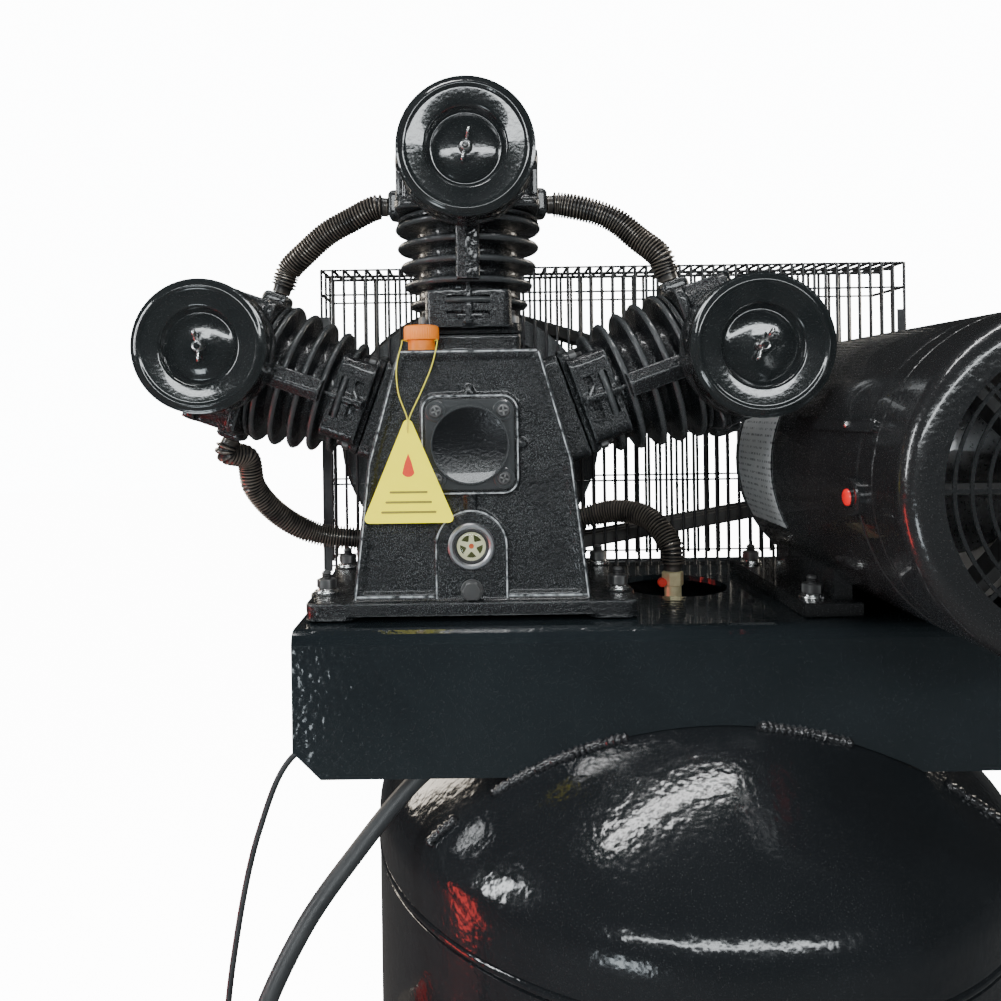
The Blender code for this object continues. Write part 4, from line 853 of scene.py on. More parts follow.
glass_low, glass_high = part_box("sight_glass")
sight_z = (glass_low.z + glass_high.z) / 2
sight = facing(pump_x, glass_high.y, sight_z)
alloy = Finish("sight_alloy", Metallic=1.0)
rings = alloy.noise(500.0, 2.0)
alloy.set(Base_Color=alloy.mix(rings, (0.55, 0.56, 0.58), (0.75, 0.76, 0.78)), Roughness=0.28 + rings * 0.15)
ring = [(0.0165, 0.0074), (0.0180, 0.0086), (0.0205, 0.0086), (0.0219, 0.0070), (0.0219, 0.0), (0.0165, 0.0)]
sight_fit = {"stands_for": ["sight_glass"], "slot": "gauge_case", "closed": True}
turned("sight_ring", ring, sight, 56, alloy.material, **sight_fit)
seal = mottled("sight_seal", 400.0, (0.010, 0.010, 0.010), (0.035, 0.035, 0.035), Roughness=0.5)
ring = [(0.0136, 0.0062), (0.0150, 0.0072), (0.0165, 0.0070), (0.0165, 0.0008), (0.0136, 0.0008)]
turned("sight_seal_ring", ring, sight, 56, seal, slot="black_rubber", closed=True)
pale = mottled("sight_disc", 260.0, (0.80, 0.79, 0.46), (0.88, 0.87, 0.60), Roughness=0.35)
disc = [(0, 0.0040), (0.0137, 0.0040), (0.0137, 0.0010), (0, 0.0010)]
turned("sight_disc", disc, sight, 48, pale, slot="sight_lens")
wet = {"Roughness": 0.15, "Coat_Weight": 0.8}
olive = mottled("sight_oil", 200.0, (0.055, 0.065, 0.02), (0.11, 0.12, 0.045), **wet)
form = bmesh.new()
for spoke in range(5):
    middle_deg = 90 + 36 + 72 * spoke
    leaf = arc(0.0106, middle_deg - 25, middle_deg + 25, 8)
    tip = arc(0.0052, middle_deg + 6, middle_deg - 6, 1)
    slab(form, leaf + tip, 0.0041, 0.0043, sight)
adopt("sight_star_windows", form, olive, slot="sight_lens")
red = mottled("sight_dot", 300.0, (0.62, 0.09, 0.03), (0.80, 0.20, 0.06), Roughness=0.3)
dot = [(0, 0.0046), (0.0022, 0.0044), (0.0024, 0.0040), (0, 0.0040)]
turned("sight_red_dot", dot, sight, 20, red, slot="red_plastic")
clear = {"Roughness": 0.02, "Transmission_Weight": 1.0, "IOR": 1.45, "Alpha": 0.35}
lens = mottled("sight_lens", 90.0, (0.93, 0.95, 0.92), (1.0, 1.0, 1.0), **clear)
dome = [(0, 0.0074), (0.0060, 0.0071), (0.0110, 0.0063), (0.0136, 0.0054), (0.0136, 0.0049), (0, 0.0049)]
turned("sight_lens_glass", dome, sight, 40, lens, slot="sight_lens")

form = bmesh.new()
drain_spot = facing(pump_x, front - 0.0036, crank_z - 0.1425 + 0.006)
turn(form, [(0, 0.0015), (0.0100, 0.0015), (0.0105, 0.0010), (0.0105, -0.004), (0, -0.004)], drain_spot, 32)
nut(form, drain_spot, 0.0160, 0.0012, 0.0065)
adopt("oil_drain_plug", form, nut_black.material, slot="black_casting", crease=25)

# ---- Oil filler cap, tag and string ------------------------------------------------------------
# A ribbed orange plug stands on the case's shoulder. A yellow laminated tag hangs from a thin
# plastic string tied round it, with an oil drop and blank lines in place of any lettering.

cap_low, cap_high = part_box("oil_filler_cap")
cap_x = (cap_low.x + cap_high.x) / 2
cap_y = (cap_low.y + cap_high.y) / 2
# The cap also glows faintly in its own colour: painted light.
orange = Finish("cap_orange", Roughness=0.42, Emission_Strength=0.12)
mottle = orange.noise(240.0, 4.0)
orange_and_glow_color = orange.mix(mottle, (0.86, 0.19, 0.008), (1.0, 0.30, 0.02))
orange.set(Base_Color=orange_and_glow_color, Emission_Color=orange_and_glow_color)
orange.set(Normal=orange.bump(mottle, 0.0004, 0.5))
cap_frame = Matrix.Translation((cap_x, cap_y, cap_high.z - 0.0162))
form = bmesh.new()
ribs = 44
rows = [(0.0112, -0.0206), (0.0112, -0.0086), (0.0130, -0.0084), (0.0130, 0.0020)]
rows += [(0.0166, 0.0024), (0.0171, 0.0034), (0.0171, 0.0130), (0.0164, 0.0152), (0.0148, 0.0162)]
rings = []
for radius, z in rows:
    ring = []
    for i in range(ribs * 4):
        angle = 2 * math.pi * i / (ribs * 4)
        notch = 0.00045 if i % 4 in (0, 1) and radius > 0.0170 else 0.0
        reach = radius - notch
        ring.append(form.verts.new(cap_frame @ Vector((reach * math.cos(angle), reach * math.sin(angle), z))))
    rings.append(ring)
for lower, upper in zip(rings, rings[1:]):
    for i in range(len(lower)):
        j = (i + 1) % len(lower)
        form.faces.new((lower[i], lower[j], upper[j], upper[i]))
form.faces.new(list(reversed(rings[0])))
form.faces.new(rings[-1])
turn(form, [(0, 0.0160), (0.0062, 0.0160), (0.0066, 0.0156), (0.0066, 0.0150), (0, 0.0150)], cap_frame, 32)
adopt("filler_cap_moulding", form, orange.material, "oil_cap", ["oil_filler_cap"], "orange_plastic")

tag_low, tag_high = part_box("oil_tag")
tag_x = (tag_low.x + tag_high.x) / 2
tag_front = tag_low.y
tag_frame = facing(tag_x, tag_front, (tag_low.z + tag_high.z) / 2)
half_w = (tag_high.x - tag_low.x) / 2
half_h = (tag_high.z - tag_low.z) / 2
# The card glows in its own colour: painted light that brightens it.
card = Finish("tag_card", Roughness=0.6, IOR=1.2, Emission_Strength=0.45)
fleck = card.noise(70.0, 4.0)
card_and_glow_color = card.mix(fleck, (0.90, 0.80, 0.004), (1.0, 0.90, 0.01))
card.set(Base_Color=card_and_glow_color, Emission_Color=card_and_glow_color, Normal=card.bump(fleck, 0.0006, 0.3))
corner_r = 0.0045
outline = arc(corner_r, 28, 152, 6, (0, half_h - corner_r))
outline += arc(corner_r, 152, 276, 6, (-half_w + corner_r, -half_h + corner_r))
outline += arc(corner_r, 270, 388, 6, (half_w - corner_r, -half_h + corner_r))
form = bmesh.new()
slab(form, outline, -0.0010, -0.00035, tag_frame)
adopt("tag_card", form, card.material, "tag", ["oil_tag"], "yellow_plastic")
ink = mottled("tag_ink", 500.0, (0.22, 0.19, 0.02), (0.34, 0.30, 0.05), Roughness=0.4)
form = bmesh.new()
for row, half_line in enumerate((0.0175, 0.0215, 0.0255)):
    z = -half_h + 0.0285 - row * 0.0092
    slab(form, rounded(half_line, 0.0011, 0.0008, 2, (0, z)), -0.00035, -0.00022, tag_frame)
adopt("tag_lines", form, ink, "tag", slot="black_plastic")
red_ink = mottled("tag_red_ink", 400.0, (0.70, 0.03, 0.01), (0.85, 0.08, 0.03), Roughness=0.35)
form = bmesh.new()
drop = arc(0.0062, 205, 335, 12, (0, 0.001))
drop += [(0.0030, 0.0085), (0.0, 0.0165), (-0.0030, 0.0085)]
slab(form, drop, -0.00035, -0.00020, tag_frame)
adopt("tag_oil_drop", form, red_ink, "tag", slot="red_plastic")


def smooth_route(points, step):
    """Points about a step apart on a smooth curve through given ones."""
    knots = [Vector(p) for p in points]
    knots = [2 * knots[0] - knots[1], *knots, 2 * knots[-1] - knots[-2]]
    line = []
    for a, b, c, d in zip(knots, knots[1:], knots[2:], knots[3:]):
        t1 = (b - a).length ** 0.5
        t2 = t1 + (c - b).length ** 0.5
        t3 = t2 + (d - c).length ** 0.5
        pieces = max(1, round((c - b).length / step))
        for i in range(pieces):
            t = t1 + (t2 - t1) * i / pieces
            p = a.lerp(b, t / t1)
            q = b.lerp(c, (t - t1) / (t2 - t1))
            r = c.lerp(d, (t - t2) / (t3 - t2))
            line.append(p.lerp(q, t / t2).lerp(q.lerp(r, (t - t1) / (t3 - t1)), (t - t1) / (t2 - t1)))
    line.append(knots[-2])
    return line


cord_plastic = mottled("tag_string_plastic", 300.0, (0.70, 0.62, 0.02), (0.90, 0.80, 0.08), Roughness=0.35)
form = bmesh.new()
eyelet = tag_frame @ Vector((0, half_h - 0.0125, 0.0004))
for side in (-1, 1):
    neck = Vector((cap_x + side * 0.0128, cap_y - 0.0075, cap_low.z + 0.0215))
    brink = Vector((cap_x + side * 0.0165, front - 0.0040, cap_low.z + 0.0175))
    route = [
        eyelet + Vector((0, 0.0018, -0.001)),
        eyelet + Vector((side * 0.0006, -0.0006, 0.004)),
        eyelet + Vector((side * 0.0008 + 0.0006, -0.0002, 0.013)),
        eyelet.lerp(brink, 0.45) + Vector((side * 0.0030 - 0.003, -0.002, 0)),
        eyelet.lerp(brink, 0.75) + Vector((side * 0.0040 - 0.002, -0.001, 0)),
        brink,
        brink + Vector((0, 0.0050, 0.0034)),
        neck,
        Vector((cap_x + side * 0.0110, cap_y + 0.0095, cap_low.z + 0.0215)),
        Vector((cap_x, cap_y + 0.0144, cap_low.z + 0.0215)),
    ]
    sweep(form, smooth_route(route, 0.003), 0.0006, 8)
adopt("tag_string", form, cord_plastic, "tag", slot="yellow_plastic", crease=80)

# ---- Cylinders ---------------------------------------------------------------------------------
# Three cast barrels with round cooling fins that grow towards the head, a flanged foot bolted to the
# case, and on the front of each a flat rib that ties the fins together.

barrel_iron = casting("barrel_enamel", 0.8)
fins = ((0.034, 0.062), (0.054, 0.067), (0.074, 0.071), (0.094, 0.074), (0.114, 0.076))
bulge = 0.0004


def plate(form, xs, ys, zs, where=Matrix(), edge=0.0):
    """Add a box between two values on each axis."""
    (x0, x1), (y0, y1) = sorted(xs), ys
    slab(form, [(x0, y0), (x1, y0), (x1, y1), (x0, y1)], *zs, where, edge)


for bank in bank_angles:
    seat = bank_frame(bank, seat_r)
    profile = [(0.0452, barrel_l - 0.0004), (0.0740, barrel_l - 0.0004)]
    for z, radius in reversed(fins):
        top = min(z + 0.0042, barrel_l - 0.0015)
        profile += [
            (0.0530, z + 0.0062) if z < 0.11 else (radius - 0.002, top),
            (0.0545, top + 0.0002) if z < 0.11 else (radius - 0.001, top - 0.0002),
            (radius - 0.0035, z + 0.0034),
            (radius - 0.0012, z + 0.0026),
            (radius + bulge, z + 0.0006),
            (radius + bulge, z - 0.0010),
            (radius - 0.0012, z - 0.0030),
            (radius - 0.0038, z - 0.0038),
            (0.0545, z - 0.0046),
            (0.0528, z - 0.0066),
        ]
    profile += [(0.0520, 0.016), (0.0560, 0.0105), (0.0560, 0.006), (0.0452, 0.006)]
    fit = {"stands_for": [f"cylinder_{bank}"], "slot": "black_casting", "crease": 50, "closed": True}
    turned(f"barrel_{bank}", profile, seat, 96, barrel_iron, **fit)
    form = bmesh.new()
    slab(form, rounded(0.0515, 0.0495, 0.009), 0.0006, 0.0105, seat, 0.0012)
    for sx in (-1, 1):
        slab(form, rounded(0.0040, 0.052, 0.002, 2, (sx * 0.034, 0)), 0.010, 0.030, seat)
    slab(form, rounded(0.0042, 0.0605, 0.002, 2), 0.0100, 0.0300, seat)
    slab(form, rounded(0.0435, 0.0130, 0.010, 4, (0, -0.0450)), 0.006, 0.0440, seat)
    rib = [(-0.0115, -0.0745), (-0.0015, -0.0790), (0.0115, -0.0750), (0.0115, -0.050), (-0.0115, -0.050)]
    slab(form, rib, 0.052, barrel_l - 0.001, seat)
    plate(form, (-0.0022, 0.0022), (-0.0600, -0.048), (0.010, 0.060), seat)
    foot_mesh = pebbled(remeshed(form, 0.0016, 2), 0.00022, 210.0)
    neck = adopt(f"barrel_foot_{bank}", foot_mesh, barrel_iron, slot="black_casting", crease=60)
    cutters = []
    for sx in (-1, 1):
        for slot_z in (0.0185, 0.0340):
            cutters.append(bmesh.new())
            pocket = rounded(0.0094, 0.0044, 0.002, 3, (sx * 0.0124, slot_z))
            slab(cutters[-1], pocket, 0.0505, 0.080, seat @ Matrix.Rotation(math.radians(90), 4, "X"))
    carve(neck, *cutters)
    nuts = bmesh.new()
    for sx, sy in corners:
        spot = seat @ Matrix.Translation((sx * 0.0435, sy * 0.0415, 0.0107))
        nut(nuts, spot, 0.0125, 0.0, 0.0075)
        stud(nuts, spot, 0.0038, 0.0070, 0.0135)
    adopt(f"barrel_nuts_{bank}", nuts, nut_black.material, slot="black_casting", crease=25)

# ---- Cylinder heads ----------------------------------------------------------------------------
# A ribbed iron box on each barrel, with a port elbow on either side for the finned pipes and four
# long bolts through it. The filter screws to its front.

head_iron = casting("head_enamel", 0.9)
for bank in bank_angles:
    top = bank_frame(bank, seat_r + barrel_l)
    form = bmesh.new()
    slab(form, rounded(0.0724, 0.0675, 0.013), 0.0008, 0.0100, top)
    slab(form, rounded(0.0670, 0.0620, 0.012), 0.0080, 0.0480, top)
    slab(form, rounded(0.0715, 0.0665, 0.013), 0.0440, 0.0530, top)
    for i in range(7):
        y = -0.054 + 0.018 * i
        slab(form, rounded(0.0710, 0.0030, 0.0014, 2, (0, y)), 0.0060, 0.0592, top)
    for sx in (-1, 1):
        inner, outer = sorted((sx * 0.056, sx * 0.0835))
        elbow = rounded((outer - inner) / 2, 0.0157, 0.005, 4, ((inner + outer) / 2, 0))
        slab(form, elbow, 0.0033, 0.0327, top, 0.004)
        for sy in (-1, 1):
            boss = top @ Matrix.Translation((sx * 0.050, sy * 0.052, 0))
            turn(form, [(0, 0.0540), (0.0105, 0.0540), (0.0115, 0.001), (0, 0.001)], boss, 24)
    fit = {"stands_for": [f"cylinder_head_{bank}"], "slot": "black_casting", "crease": 60}
    adopt(f"head_{bank}", remeshed(form, 0.0018, 3), head_iron, **fit)
    bolts = bmesh.new()
    for sx, sy in corners:
        nut(bolts, top @ Matrix.Translation((sx * 0.050, sy * 0.052, 0.0538)), 0.0140, 0.0, 0.0056)
    adopt(f"head_bolts_{bank}", bolts, nut_black.material, slot="black_casting", crease=25)

# ---- Air filters -------------------------------------------------------------------------------
# Pressed steel pots: a rear pan with a rolled edge and a deep gloss cover with a sunk middle, drawn
# up by a zinc wing nut on a centre stud.


def pot_enamel(name):
    paint = Finish(name, Coat_Weight=0.7, Coat_Roughness=0.03, IOR=1.45)
    smear = paint.noise(26.0, 4.0)
    specks = paint.ramp(paint.noise(1300.0, 1.0), (0.66, 0.0), (0.74, 1.0))
    paint.set(Base_Color=paint.mix(specks * 0.2 + smear * 0.12, (0.006, 0.008, 0.009), (0.12, 0.125, 0.12)))
    paint.set(Roughness=0.09 + smear * 0.08 + specks * 0.2)
    paint.set(Normal=paint.bump(paint.noise(260.0, 1.5) + paint.noise(45.0) * 0.8, 0.0005, 0.30))
    return paint.material


pot_paint = pot_enamel("filter_enamel")
filter_r = 0.065
filter_d = 0.060
wing_angles = {"left": 100, "top": 78, "right": 62}
for bank in bank_angles:
    low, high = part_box(f"filter_cover_{bank}")
    spot = facing((low.x + high.x) / 2, high.y + 0.014, (low.z + high.z) / 2)
    r = filter_r - 0.0006
    d = filter_d - 0.0003
    cover = [
        (0.0036, d - 0.0060), (0.0100, d - 0.0060), (0.0120, d - 0.0064), (0.0165, d - 0.0067),
        (0.0215, d - 0.0074), (0.0255, d - 0.0083), (0.0290, d - 0.0094), (0.0315, d - 0.0105),
        (0.0332, d - 0.0108), (0.0346, d - 0.0100), (0.0358, d - 0.0072), (0.0368, d - 0.0040),
        (0.0380, d - 0.0026), (0.0396, d - 0.0021), (0.0530, d - 0.0013), (0.0548, d - 0.0011),
        (0.0558, d - 0.0002), (0.0572, d), (0.0588, d - 0.0004), (0.0604, d - 0.0019),
        (0.0622, d - 0.0020), (0.0640, d - 0.0024), (r - 0.0003, d - 0.0040), (r, d - 0.0058),
        (r - 0.0010, d - 0.0080), (r - 0.0012, 0.0200), (r - 0.0004, 0.0176), (r, 0.0160),
        (r - 0.0008, 0.0142), (r - 0.0022, 0.0142), (r - 0.0024, d - 0.0080), (0.0560, d - 0.0018),
        (0.0380, d - 0.0036), (0.0320, d - 0.0118), (0.0036, d - 0.0118),
    ]
    fit = {"stands_for": [f"filter_cover_{bank}"], "crease": 42}
    turned(f"filter_pot_{bank}", cover, spot, 128, pot_paint, closed=True, **fit)
    pan_r = 0.0622
    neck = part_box(f"filter_base_{bank}")[1].y - (high.y + 0.014)
    pan = [
        (0, 0.0636), (0.0022, 0.0636), (0.0029, 0.0628), (0.0029, 0.0115), (pan_r - 0.0010, 0.0115),
        (pan_r, 0.0105), (pan_r, 0.0088), (pan_r - 0.0014, 0.0080), (0.0245, 0.0080), (0.0240, 0.0070),
        (0.0240, -neck + 0.0002), (0, -neck + 0.0002),
    ]
    fit = {"stands_for": [f"filter_base_{bank}"], "crease": 42}
    turned(f"filter_pan_{bank}", pan, spot, 96, pot_paint, **fit)
    wing = spot @ Matrix.Translation((0, 0, d - 0.0056))
    wing = wing @ Matrix.Rotation(math.radians(wing_angles[bank]), 4, "Z")
    hub = [(0.0031, 0.0072), (0.0044, 0.0076), (0.0052, 0.0064)]
    hub += [(0.0066, 0.0008), (0.0060, 0.0), (0.0031, 0.0)]
    form = bmesh.new()
    turn(form, hub, wing, 32, closed=True)
    for side in (-1, 1):
        blade = wing @ Matrix.Rotation(math.radians(90), 4, "X")
        ear = [(side * 0.0042, 0.0012), (side * 0.0078, 0.0016)]
        ear += [(side * x, y) for x, y in arc(0.0036, -60, 150, 10, (0.0124, 0.0078))]
        ear += [(side * 0.0042, 0.0062)]
        if side < 0:
            ear.reverse()
        slab(form, ear, -0.0011, 0.0011, blade, 0.0004)
    fit = (f"nut_{bank}", [f"wing_nut_{bank}"], "zinc_steel", 45)
    adopt(f"wing_nut_forged_{bank}", form, zinc.material, *fit)

# ---- Finned pipes ------------------------------------------------------------------------------
# Copper-cored pipes wound with a thin steel ribbon on edge; black paint has worn off the ribbon's
# rim, so the turns show bright. Each end screws into a port elbow; the free port has a blank.

ribbon = Finish("finned_pipe", Roughness=0.3, Metallic=0.5)
rim = ribbon.ramp(ribbon.node("NewGeometry", out="Pointiness"), (0.50, 0.0), (0.62, 1.0))
wear = ribbon.ramp(ribbon.noise(55.0, 4.0), (0.38, 0.15), (0.62, 1.0))
ribbon.set(Base_Color=ribbon.mix(rim * wear, (0.012, 0.012, 0.013), (0.42, 0.36, 0.30)))
ribbon.set(Metallic=rim * wear * 0.9 + 0.1, Roughness=0.34 - rim * 0.12)
pipe_r = 0.0135
port_reach = 0.0843
port_h = 0.017


def port_point(bank, side, out=0.0):
    return bank_frame(bank, seat_r + barrel_l + port_h) @ Vector((side * (port_reach + out), 0, 0))


def pump_point(x, y, z):
    return Vector((pump_x + x, y, crank_z + z))


pipes = {
    "intercooler_left": [
        port_point("top", -1),
        port_point("top", -1, 0.012),
        pump_point(-0.124, -0.028, 0.237),
        pump_point(-0.151, -0.022, 0.224),
        pump_point(-0.176, -0.015, 0.205),
        port_point("left", 1, 0.026),
        port_point("left", 1, 0.012),
        port_point("left", 1),
    ],
    "intercooler_right": [
        port_point("top", 1),
        port_point("top", 1, 0.012),
        pump_point(0.128, -0.042, 0.240),
        pump_point(0.154, -0.047, 0.228),
        pump_point(0.176, -0.053, 0.208),
        port_point("right", -1, 0.026),
        port_point("right", -1, 0.012),
        port_point("right", -1),
    ],
    "discharge_tube": [
        port_point("left", -1),
        port_point("left", -1, 0.014),
        pump_point(-0.250, 0.010, -0.018),
        pump_point(-0.246, 0.022, -0.050),
        pump_point(-0.226, 0.040, -0.082),
        pump_point(-0.190, 0.058, -0.108),
        pump_point(-0.140, 0.0665, -0.118),
        pump_point(-0.040, 0.0675, -0.118),
        pump_point(0.060, 0.0675, -0.112),
        pump_point(0.132, 0.064, -0.096),
        pump_point(0.170, 0.050, -0.088),
        pump_point(0.200, 0.028, -0.094),
        Vector((tank_x - 0.001, 0.003, deck + 0.0423)),
        Vector((tank_x, 0, deck + 0.0263)),
        Vector((tank_x, 0, deck + 0.0163)),
    ],
}
for name, route in pipes.items():
    form = bmesh.new()
    step = 0.00085
    line = smooth_route(route, step)
    count = len(line)
    heights = (0.76, 0.985, 0.985, 0.76)

    def pipe_radius(i, count=count):
        if i < 8 or i > count - 9:
            return pipe_r * 0.72
        return pipe_r * heights[i % 4]

    sweep(form, line, pipe_radius, 22)
    adopt(f"{name}_wound", form, ribbon.material, stands_for=[name], slot="finned_tube", crease=70)
blank = bank_frame("right", seat_r + barrel_l + port_h) @ Matrix.Translation((0.0838, 0, 0))
blank = blank @ Matrix.Rotation(math.radians(90), 4, "Y")
form = bmesh.new()
nut(form, blank, 0.019, -0.001, 0.0)
adopt("port_blank", form, nut_black.material, slot="black_casting")

# ---- Check valve -------------------------------------------------------------------------------
# A machined brass body screwed into the crown of the tank through the platform's hole, with a hexagon
# at the pipe end and a side port for the unloader pipe under the deck.

brass = Finish("valve_brass", Metallic=0.55)
stain = brass.noise(180.0, 5.0)
brass.set(Base_Color=brass.mix(stain, (0.66, 0.54, 0.26), (0.95, 0.88, 0.58)), Roughness=0.24 + stain * 0.22)
brass.set(Normal=brass.bump(stain, 0.0004, 0.35))
form = bmesh.new()
valve = Matrix.Translation((tank_x, 0, deck))
nut(form, valve, 0.0205, -0.0005, 0.0155)
nut(form, valve, 0.0205, -0.0360, -0.0150)
turn(form, [(0, 0.0), (0.0093, 0.0), (0.0093, -0.0152), (0, -0.0152)], valve, 32)
turn(form, [(0, -0.035), (0.0088, -0.035), (0.0088, -0.0512), (0, -0.0512)], valve, 32)
side_port = valve @ Matrix.Translation((0, 0, -0.024)) @ Matrix.Rotation(math.radians(-90), 4, "Y")
turn(form, [(0, 0.0197), (0.0046, 0.0197), (0.0049, 0.0190), (0.0049, 0.004), (0, 0.004)], side_port, 20)
adopt("check_valve_body", form, brass.material, stands_for=["check_valve"], slot="brass", crease=25)
red_paint = mottled("red_seal_paint", 300.0, (0.50, 0.015, 0.01), (0.70, 0.05, 0.03), Roughness=0.35)
seal_cap = [(0, 0.0050), (0.0042, 0.0050), (0.0050, 0.0040), (0.0050, 0.0), (0, 0.0)]
spot = facing(tank_x - 0.0128, -0.003, deck + 0.004)
turned("valve_seal_cap", seal_cap, spot, 24, red_paint, slot="red_plastic")

# ---- Cables ------------------------------------------------------------------------------------
# The motor's thick rubber cable comes from under the platform and loops down to the pressure switch;
# the thin black unloader pipe runs from the check valve to the same switch. Both ends are held.

sheath = Finish("cable_sheath", Roughness=0.4)
dusty = sheath.noise(45.0, 4.0)
sheath.set(Base_Color=sheath.mix(dusty, (0.016, 0.018, 0.020), (0.045, 0.048, 0.050)))
sheath.set(Roughness=0.34 + dusty * 0.2)
sheath.set(Normal=sheath.bump(sheath.noise(500.0, 3.0), 0.0003, 0.4))
switch_deg = math.radians(200)
away = Vector((math.cos(switch_deg), math.sin(switch_deg), 0))
upward = Vector((0, 0, 1))
manifold = Matrix((upward.cross(away), upward, away)).transposed().to_4x4()
manifold.translation = Vector((tank_x, 0, deck - 0.520))


def from_tank(x, y, z):
    return Vector((tank_x + x, y, deck + z))


motor_route = [
    from_tank(0.120, -0.135, -0.0063),
    from_tank(0.120, -0.135, -0.024),
    from_tank(0.095, -0.136, -0.046),
    from_tank(0.030, -0.139, -0.058),
    from_tank(-0.080, -0.142, -0.064),
    from_tank(-0.170, -0.146, -0.080),
    from_tank(-0.225, -0.150, -0.106),
    from_tank(-0.274, -0.156, -0.142),
    from_tank(-0.323, -0.184, -0.190),
    from_tank(-0.366, -0.215, -0.240),
    from_tank(-0.400, -0.248, -0.310),
    from_tank(-0.408, -0.270, -0.385),
    from_tank(-0.388, -0.266, -0.435),
    from_tank(-0.364, -0.226, -0.450),
    manifold @ Vector((0.067, 0.070, 0.385)),
    manifold @ Vector((0.0453, 0.070, 0.385)),
]
form = bmesh.new()
sweep(form, smooth_route(motor_route, 0.006), 0.0079, 24)
adopt("motor_cable_sheath", form, sheath.material, stands_for=["motor_cable"], slot="black_rubber", crease=80)
unloader_route = [
    from_tank(-0.0203, 0, -0.024),
    from_tank(-0.032, -0.001, -0.0245),
    from_tank(-0.100, -0.020, -0.032),
    from_tank(-0.180, -0.058, -0.058),
    from_tank(-0.260, -0.098, -0.086),
    from_tank(-0.340, -0.124, -0.104),
    from_tank(-0.391, -0.137, -0.127),
    from_tank(-0.420, -0.145, -0.190),
    from_tank(-0.441, -0.154, -0.290),
    from_tank(-0.448, -0.160, -0.370),
    from_tank(-0.440, -0.162, -0.410),
    manifold @ Vector((0, 0.092, 0.437)),
    manifold @ Vector((0, 0.092, 0.4253)),
]
form = bmesh.new()
sweep(form, smooth_route(unloader_route, 0.005), 0.0029, 16)
adopt("unloader_pipe", form, sheath.material, stands_for=["unloader_tube"], slot="black_rubber", crease=80)

# ---- Belt guard --------------------------------------------------------------------------------
# Black-dipped steel wire: 3.6 mm uprights every 13.5 mm welded to a few thinner level wires, made as a
# flat front screen and a tray behind it, with a flat clamp strip at each end.

wire_paint = Finish("dipped_wire", Coat_Weight=0.5, Coat_Roughness=0.15)
blob = wire_paint.noise(180.0, 3.0)
wire_paint.set(Base_Color=wire_paint.mix(blob, (0.010, 0.010, 0.011), (0.030, 0.030, 0.032)))
wire_paint.set(Roughness=0.22 + blob * 0.2, Normal=wire_paint.bump(blob, 0.0005, 0.4))
guard_low, guard_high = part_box("belt_guard_back")
screen_low, screen_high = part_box("belt_guard_front")
wire_r = 0.0018
pitch = 0.0135


def straight(form, a, b, radius=wire_r, sides=6):
    sweep(form, [a, b], radius, sides)


left, right = guard_low.x + wire_r, guard_high.x - wire_r
bottom, top_z = guard_low.z + wire_r, guard_high.z - wire_r
near, far = screen_low.y + wire_r, guard_high.y - wire_r
uprights = int((right - left) / pitch)
levels = [bottom + 0.004, deck + 0.108, deck + 0.166, deck + 0.337, top_z]
screen = bmesh.new()
tray = bmesh.new()
shafts = ((pump_x, crank_z, 0.034), (motor_x, shaft_z, 0.036))
for i in range(uprights + 1):
    x = left + (right - left) * i / uprights
    runs = [(bottom, top_z)]
    for hole_x, hole_z, hole_r in shafts:
        if abs(x - hole_x) < hole_r:
            runs = [(bottom, hole_z - hole_r), (hole_z + hole_r, top_z)]
    for low_z, high_z in runs:
        straight(screen, (x, near, low_z), (x, near, high_z))
    straight(tray, (x, far, bottom), (x, far, top_z))
    straight(tray, (x, far, top_z), (x, near + 0.0034, top_z))
for z in levels:
    for wires, y in ((screen, near + 2 * wire_r), (tray, far - 2 * wire_r)):
        straight(wires, (left, y, z), (right, y, z), 0.0012)
for x in (left, right):
    for z in (*levels, bottom + 0.05, bottom + 0.22, bottom + 0.27):
        straight(tray, (x, near + 0.0034, z), (x, far, z))
    for y in (near + 0.030, near + 0.058):
        straight(tray, (x, y, bottom), (x, y, top_z))
for y in (near + 0.030, near + 0.058):
    straight(tray, (left, y, top_z - 2 * wire_r), (right, y, top_z - 2 * wire_r))
for hole_x, hole_z, hole_r in shafts:
    ring = [(x, near, z) for x, z in arc(hole_r, 0, 360, 24, (hole_x, hole_z))]
    sweep(screen, ring, wire_r, 6)
for half_name, wires, node in (("screen", screen, "belt_guard_front"), ("tray", tray, "belt_guard_back")):
    fit = {"stands_for": [node], "slot": "black_wire", "crease": 80}
    adopt(f"guard_{half_name}_wires", wires, wire_paint.material, **fit)
form = bmesh.new()
for x in (left - 0.0008, right - 0.0092):
    plate(form, (x, x + 0.0100), (near - 0.0013, near - 0.0001), (deck + 0.004, deck + 0.31))
adopt("guard_clamp_strips", form, wire_paint.material, slot="black_wire")

# ---- Flywheel, pulley and belts ----------------------------------------------------------------
# Grey-iron wheels painted black, with painted highlights on their groove ridges and edges, five round windows
# in the flywheel's web, and three V ribs of belting on a common back.

wheel_iron = casting("wheel_enamel", 0.7, (0.010, 0.011, 0.012), 0.22)
belt_mid = (wheel_low.y + wheel_high.y) / 2
belt_pitch = 0.019
wheel_w = wheel_high.y - wheel_low.y


def grooves(radius):
    """A rim's outer profile with three V grooves."""
    points = [(radius - 0.0008, wheel_w / 2 - 0.0002), (radius, wheel_w / 2 - 0.001)]
    for i in range(3):
        centre = (1 - i) * belt_pitch
        root_r = radius - 0.0115
        points += [(radius, centre + 0.0086), (root_r, centre + 0.0053)]
        points += [(root_r, centre - 0.0053), (radius, centre - 0.0086)]
    points += [(radius, -wheel_w / 2 + 0.001), (radius - 0.0008, -wheel_w / 2 + 0.0002)]
    return points


